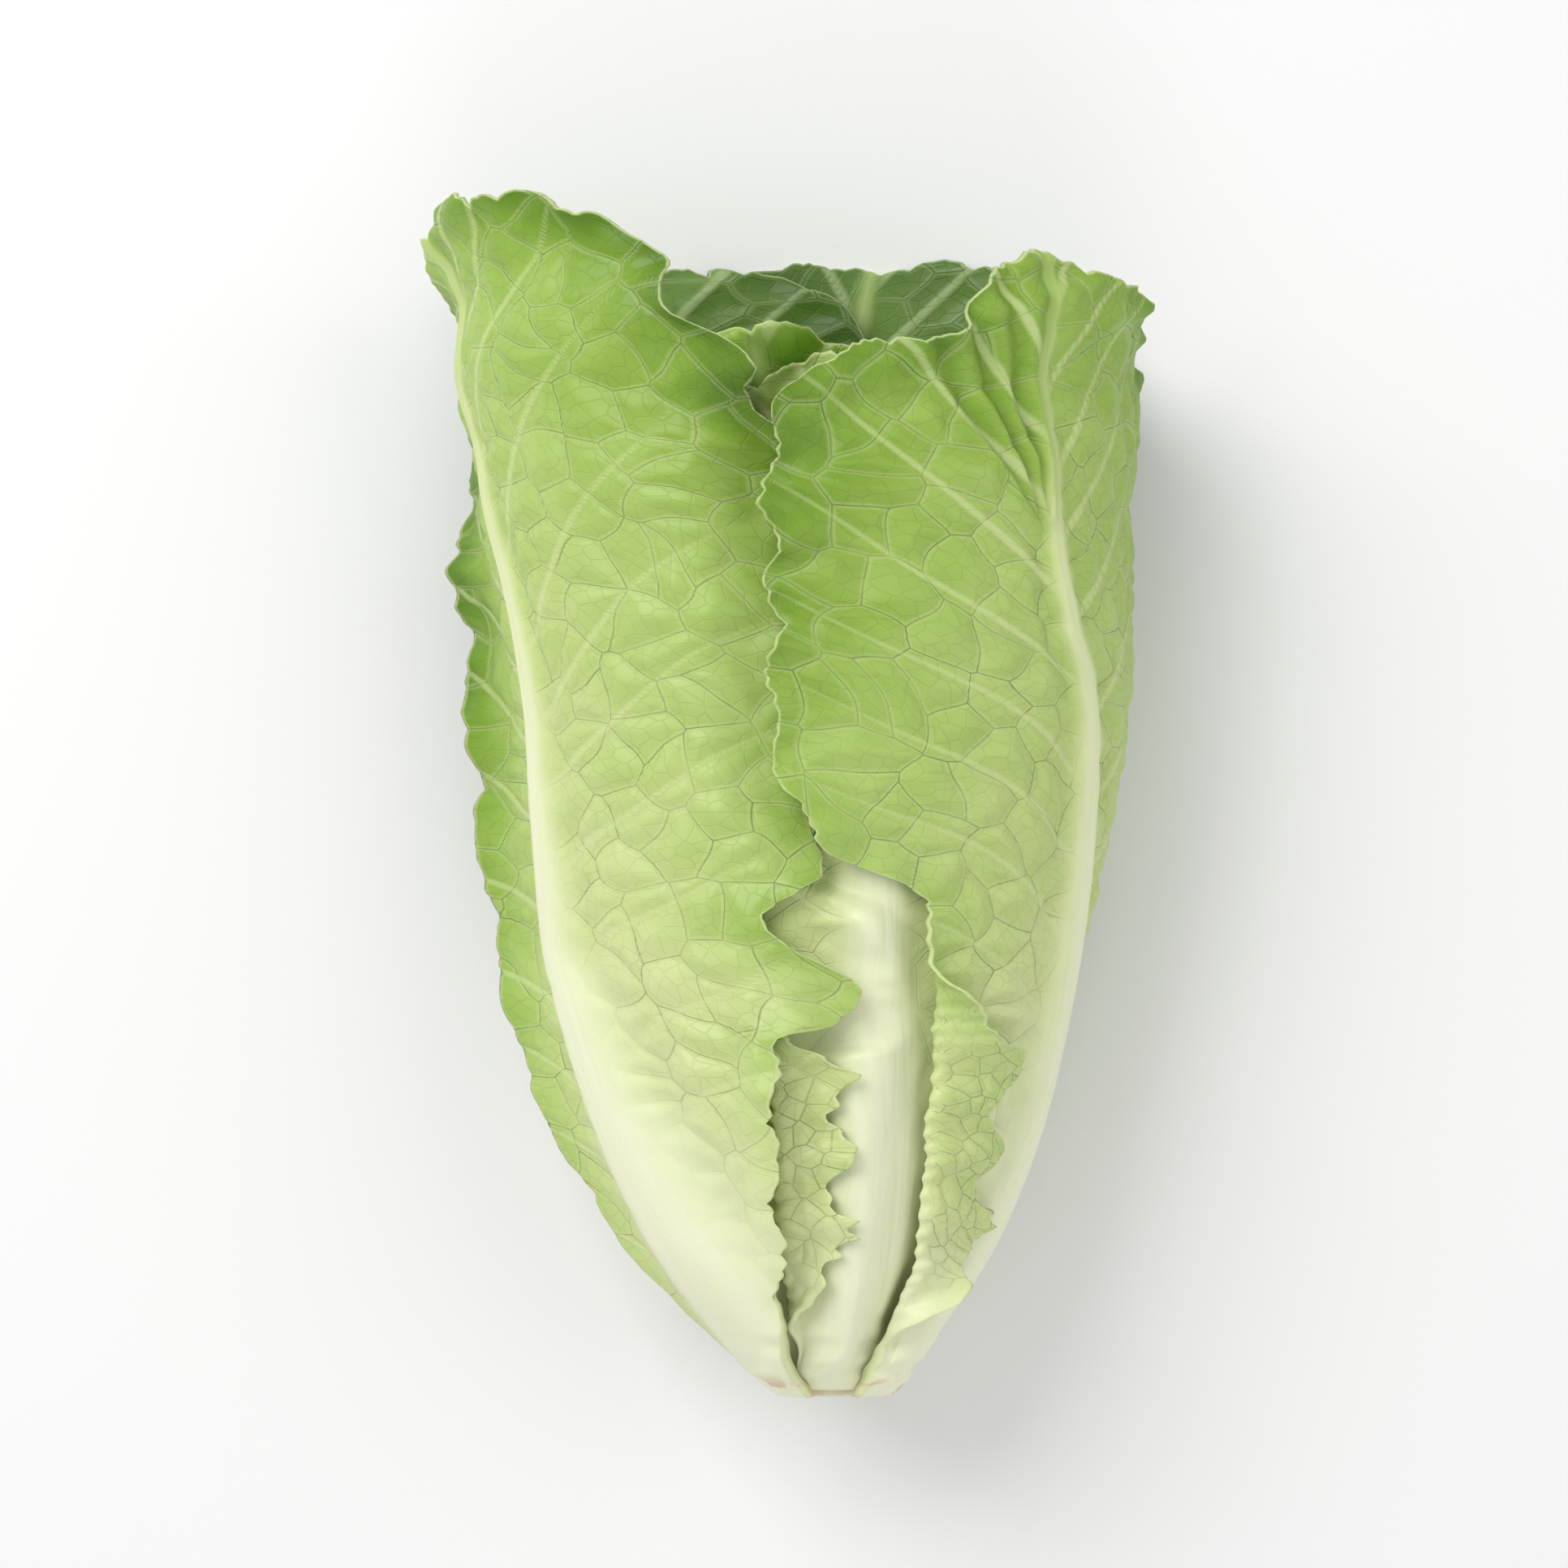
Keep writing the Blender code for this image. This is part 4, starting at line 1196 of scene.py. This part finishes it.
def painted_crease_shade(tree, cells, crease, fine, pale):
    """How much painted shade darkens the creases and the finer net: uneven along the net, and none on a side
    vein.
    """
    off_vein = add_node(tree, "ShaderNodeMath", {0: 1.0, 1: pale}, operation="SUBTRACT", use_clamp=True)
    lines = add_node(tree, "ShaderNodeMath", {0: fine, 1: FINE_SHARE, 2: crease}, operation="MULTIPLY_ADD",
                     use_clamp=True)
    uneven = add_node(tree, "ShaderNodeTexNoise", {
        "Vector": cells, "Scale": FADES_IN_A_CELL, "Detail": 2.0})
    uneven = add_node(tree, "ShaderNodeMapRange", {
        "Value": uneven, "From Min": CREASE_FADES[0], "From Max": CREASE_FADES[1], "To Min": FAINTEST_CREASE})
    for share in (off_vein, uneven, CREASE_SHADE_STRENGTH):
        lines = add_node(tree, "ShaderNodeMath", {0: lines, 1: share}, operation="MULTIPLY")
    return lines


def leaf_colour(tree, greens, vein_tint, line_shade):
    """The leaf's colour, and the lines that its bump also needs."""
    cells = add_node(tree, "ShaderNodeAttribute", out="Vector", attribute_name="cells")
    rolled = add_node(tree, "ShaderNodeAttribute", out="Vector", attribute_name="rolled")
    tone = add_node(tree, "ShaderNodeAttribute", out="Fac", attribute_name="tone")
    rib = add_node(tree, "ShaderNodeAttribute", out="Fac", attribute_name="rib")
    from_edge = add_node(tree, "ShaderNodeAttribute", out="Fac", attribute_name="from_edge")
    blade = add_node(tree, "ShaderNodeMath", {0: 1.0, 1: rib}, operation="SUBTRACT", use_clamp=True)
    green_enough = add_node(tree, "ShaderNodeMapRange", {
        "Value": tone, "From Min": GREEN_ENOUGH[0], "From Max": GREEN_ENOUGH[1]},
        interpolation_type="SMOOTHSTEP")
    blade = add_node(tree, "ShaderNodeMath", {0: blade, 1: green_enough}, operation="MULTIPLY")

    fibres = rib_fibres(tree, rolled)
    green = mottled_green(tree, greens, cells, tone, rib, fibres)
    borders = net_borders(tree, cells)
    crease = thread(tree, borders, NET_CREASE, blade)
    fine_borders = cell_borders(tree, cells, FINER_CELLS)
    fine = thread(tree, fine_borders, FINE_LINE * FINER_CELLS, blade)
    net = thread(tree, borders, NET_VEIN, blade)
    net = add_node(tree, "ShaderNodeMath", {0: net, 1: NET_SHARE}, operation="MULTIPLY")
    pale = side_veins(tree, rolled, blade)
    raised = add_node(tree, "ShaderNodeMath", {0: net, 1: pale}, operation="MAXIMUM")
    veins = add_node(tree, "ShaderNodeMath", {0: raised, 1: VEIN_STRENGTH}, operation="MULTIPLY")
    edge = thread(tree, from_edge, EDGE_LINE, EDGE_STRENGTH)
    edged = add_node(tree, "ShaderNodeMath", {0: veins, 1: edge}, operation="MAXIMUM")
    veined = add_node(tree, "ShaderNodeMix", {0: edged, 6: green, 7: colour(vein_tint)}, out=2,
                      data_type="RGBA")
    # Painted shade: along the creases the leaf colour is multiplied by line_shade.
    lines = painted_crease_shade(tree, cells, crease, fine, pale)
    crease_shaded = add_node(tree, "ShaderNodeMix", {0: lines, 6: veined, 7: colour(line_shade)}, out=2,
                       data_type="RGBA", blend_type="MULTIPLY")
    brown = foot_browning(tree, rolled)
    browned = add_node(tree, "ShaderNodeMix", {0: brown, 6: crease_shaded, 7: colour("#d3a388")}, out=2,
                       data_type="RGBA")
    return browned, raised, crease, fine, fibres, rib


# %% [markdown]
# The same lines also shape the surface at a scale that the mesh is too coarse for: the veins stand up as
# threads in a shallow groove, and the rib's fibres run along it as low ridges.

# %% Leaf materials
LEAF_ROUGHNESS = 0.4
LEAF_IOR = 1.42
LEAF_GLOW = 0.2
CREASE_BUMP = 0.9
FINE_BUMP = 0.35
FIBRE_BUMP = 1.2
BUMP_STRENGTH = 0.55
BUMP_DEPTH = 0.35 * MM


def leaf_material(name, greens, vein_tint, line_shade):
    material = bpy.data.materials.new(name)
    material.use_nodes = True
    tree = material.node_tree
    tree.nodes.clear()
    tint, raised, crease, fine, fibres, rib = leaf_colour(tree, greens, vein_tint, line_shade)
    height = raised
    ridges = add_node(tree, "ShaderNodeMath", {0: fibres, 1: rib}, operation="MULTIPLY")
    for lines, share in ((crease, -CREASE_BUMP), (fine, -FINE_BUMP), (ridges, FIBRE_BUMP)):
        height = add_node(tree, "ShaderNodeMath", {0: lines, 1: share, 2: height}, operation="MULTIPLY_ADD")
    bump = add_node(tree, "ShaderNodeBump", {
        "Height": height, "Strength": BUMP_STRENGTH, "Distance": BUMP_DEPTH})
    shader = add_node(tree, "ShaderNodeBsdfPrincipled", {
        "Base Color": tint, "Roughness": LEAF_ROUGHNESS, "IOR": LEAF_IOR, "Normal": bump,
        "Subsurface Weight": LEAF_GLOW, "Subsurface Radius": (0.5, 1.0, 0.25), "Subsurface Scale": 3 * MM})
    add_node(tree, "ShaderNodeOutputMaterial", {"Surface": shader})
    return material


BRIGHT_GREENS = ((0, "#eef0d0"), (0.12, "#e3e9bb"), (0.3, "#cedb97"), (0.5, "#b4cb75"), (0.7, "#98b750"),
                 (0.86, "#7c9f31"), (1, "#5d821c"))
# SHADED_GREENS, with its darker vein tint and line colour, is the same leaf green darkened: painted shade for
# the leaves in BACK_LEAVES, which lie behind and under the head.
SHADED_GREENS = ((0, "#eef0d0"), (0.12, "#dee5bd"), (0.3, "#becc8d"), (0.5, "#93ad5c"), (0.7, "#6c8d3c"),
                 (0.86, "#527229"), (1, "#3c5b1e"))
blade = leaf_material("romaine leaf, satin skin, fresh green", BRIGHT_GREENS, "#dbe4a8", "#7d9a4c")
# The second material is painted shade: the leaf colours darkened for the back leaves.
painted_shade_blade = leaf_material("romaine leaf, satin skin, painted shade", SHADED_GREENS, "#b9ca92", "#7c9a55")
BACK_LEAVES = (2, 4)
for leaf, piece in zip(LEAVES, leaf_pieces):
    piece.data.materials.clear()
    piece.data.materials.append(painted_shade_blade if leaf["order"] in BACK_LEAVES else blade)

# %% [markdown]
# ## The stem and its cut
#
# The stem is a short cone that the leaves grow from. At the foot it was cut with a knife, so it ends in a
# flat face with a pale pith, a ring of vessels and a rim that browns in the air. It is built as by hand: a
# filled circle, the cut face, is extruded ring by ring up the cone. Pith and vessels are left to the
# material.

# %% Model the stem
STEM_SIDES = 64
CUT_RADIUS = 0.93

radii = [float(curve(STEM_RADIUS, h)) * (CUT_RADIUS if h == 0 else 1) for h in STEM_RINGS]
middles = [(PLACE + np.array([float(curve(SIDE_SHIFT, h)), h, AXIS_LIFT])) * MM for h in STEM_RINGS]
deselect_all()
bpy.ops.mesh.primitive_circle_add(vertices=STEM_SIDES, radius=radii[0] * MM, fill_type="NGON",
                                  location=middles[0], rotation=(math.pi / 2, 0, 0))
stem = bpy.context.active_object
stem.name = "romaine_stem"
bpy.ops.object.transform_apply(location=True, rotation=True, scale=True)
bpy.ops.object.mode_set(mode="EDIT")
bpy.ops.mesh.select_all(action="SELECT")
for low, high, small, large in zip(middles, middles[1:], radii, radii[1:]):
    bpy.ops.mesh.extrude_region_move(TRANSFORM_OT_translate={"value": tuple(high - low)})
    bpy.ops.transform.resize(value=(large / small,) * 3, center_override=tuple(high))
bpy.ops.object.mode_set(mode="OBJECT")

# %% [markdown]
# Real stems aren't turned on a lathe: the scars of the trimmed outer leaves leave low swellings round the
# foot. They are a small wave added to the radius, which fades where the stem narrows.

# %% Uneven stem and its normals
WIDE_SWELLING = 0.03
SMALL_SWELLING = 0.02
SWOLLEN_TO = 30


def swell_stem(mesh):
    points = coordinates(mesh) / MM - PLACE
    height = points[:, 1]
    middle = np.stack([curve(SIDE_SHIFT, height), height, np.full(len(height), AXIS_LIFT)], axis=-1)
    out = points - middle
    angle = np.arctan2(out[:, 2], out[:, 0])
    swelling = WIDE_SWELLING * np.sin(3 * angle + 0.5) + SMALL_SWELLING * np.sin(7 * angle + height / 4)
    swelling = swelling * fade(height / SWOLLEN_TO)
    set_coordinates(mesh, (middle + out * (1 + swelling[:, None]) + PLACE) * MM)


swell_stem(stem.data)
stem.select_set(True)
bpy.context.view_layer.objects.active = stem
bpy.ops.object.mode_set(mode="EDIT")
bpy.ops.mesh.select_all(action="SELECT")
bpy.ops.mesh.normals_make_consistent(inside=False)
bpy.ops.object.mode_set(mode="OBJECT")
bpy.ops.object.shade_smooth_by_angle(angle=math.radians(40))
print("stem triangles:", sum(len(face.vertices) - 2 for face in stem.data.polygons))

# %% [markdown]
# The stem's colour goes by the distance from its middle line: creamy pith, a slightly glassy ring of
# vessels, and a rim that has turned pinkish brown in patches.

# %% Stem material
WOBBLE = 2.4 * MM
WOBBLE_LENGTH = 3.846 * MM
PITH_GRAIN = 0.7143 * MM
CUT_SCALE = 12 * MM
CUT_TINTS = ((0, "#efeedb"), (0.42, "#e9e9d0"), (0.55, "#cfd6ae"), (0.66, "#e3e2c4"), (0.82, "#dcc7a2"),
             (1, "#c48e6a"))


def stem_material():
    material = bpy.data.materials.new("romaine stem, knife cut")
    material.use_nodes = True
    tree = material.node_tree
    tree.nodes.clear()
    place = add_node(tree, "ShaderNodeTexCoord", out="Object")
    middle = tuple(-c for c in middles[0])
    centred = add_node(tree, "ShaderNodeMapping", {"Vector": place, "Location": middle})
    flat = add_node(tree, "ShaderNodeVectorMath", {0: centred, 1: (1.0, 0.0, 1.0)}, operation="MULTIPLY")
    distance = add_node(tree, "ShaderNodeVectorMath", {0: flat}, out="Value", operation="LENGTH")
    wobble = add_node(tree, "ShaderNodeTexNoise", {
        "Vector": centred, "Scale": 1 / WOBBLE_LENGTH, "Detail": 3.0})
    distance = add_node(tree, "ShaderNodeMath", {0: wobble, 1: WOBBLE, 2: distance},
                        operation="MULTIPLY_ADD")
    share = add_node(tree, "ShaderNodeMath", {0: distance, 1: CUT_SCALE}, operation="DIVIDE")
    tint = add_node(tree, "ShaderNodeValToRGB", {0: share}, stops=CUT_TINTS)
    grain = add_node(tree, "ShaderNodeTexNoise", {"Vector": centred, "Scale": 1 / PITH_GRAIN, "Detail": 2.0})
    bump = add_node(tree, "ShaderNodeBump", {"Height": grain, "Strength": 0.35, "Distance": 0.3 * MM})
    shader = add_node(tree, "ShaderNodeBsdfPrincipled", {
        "Base Color": tint, "Roughness": 0.5, "IOR": 1.4, "Normal": bump, "Subsurface Weight": 0.2,
        "Subsurface Radius": (1.0, 0.9, 0.5), "Subsurface Scale": 3 * MM})
    add_node(tree, "ShaderNodeOutputMaterial", {"Surface": shader})
    return material


stem.data.materials.append(stem_material())
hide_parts("stem")
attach(stem, "root")
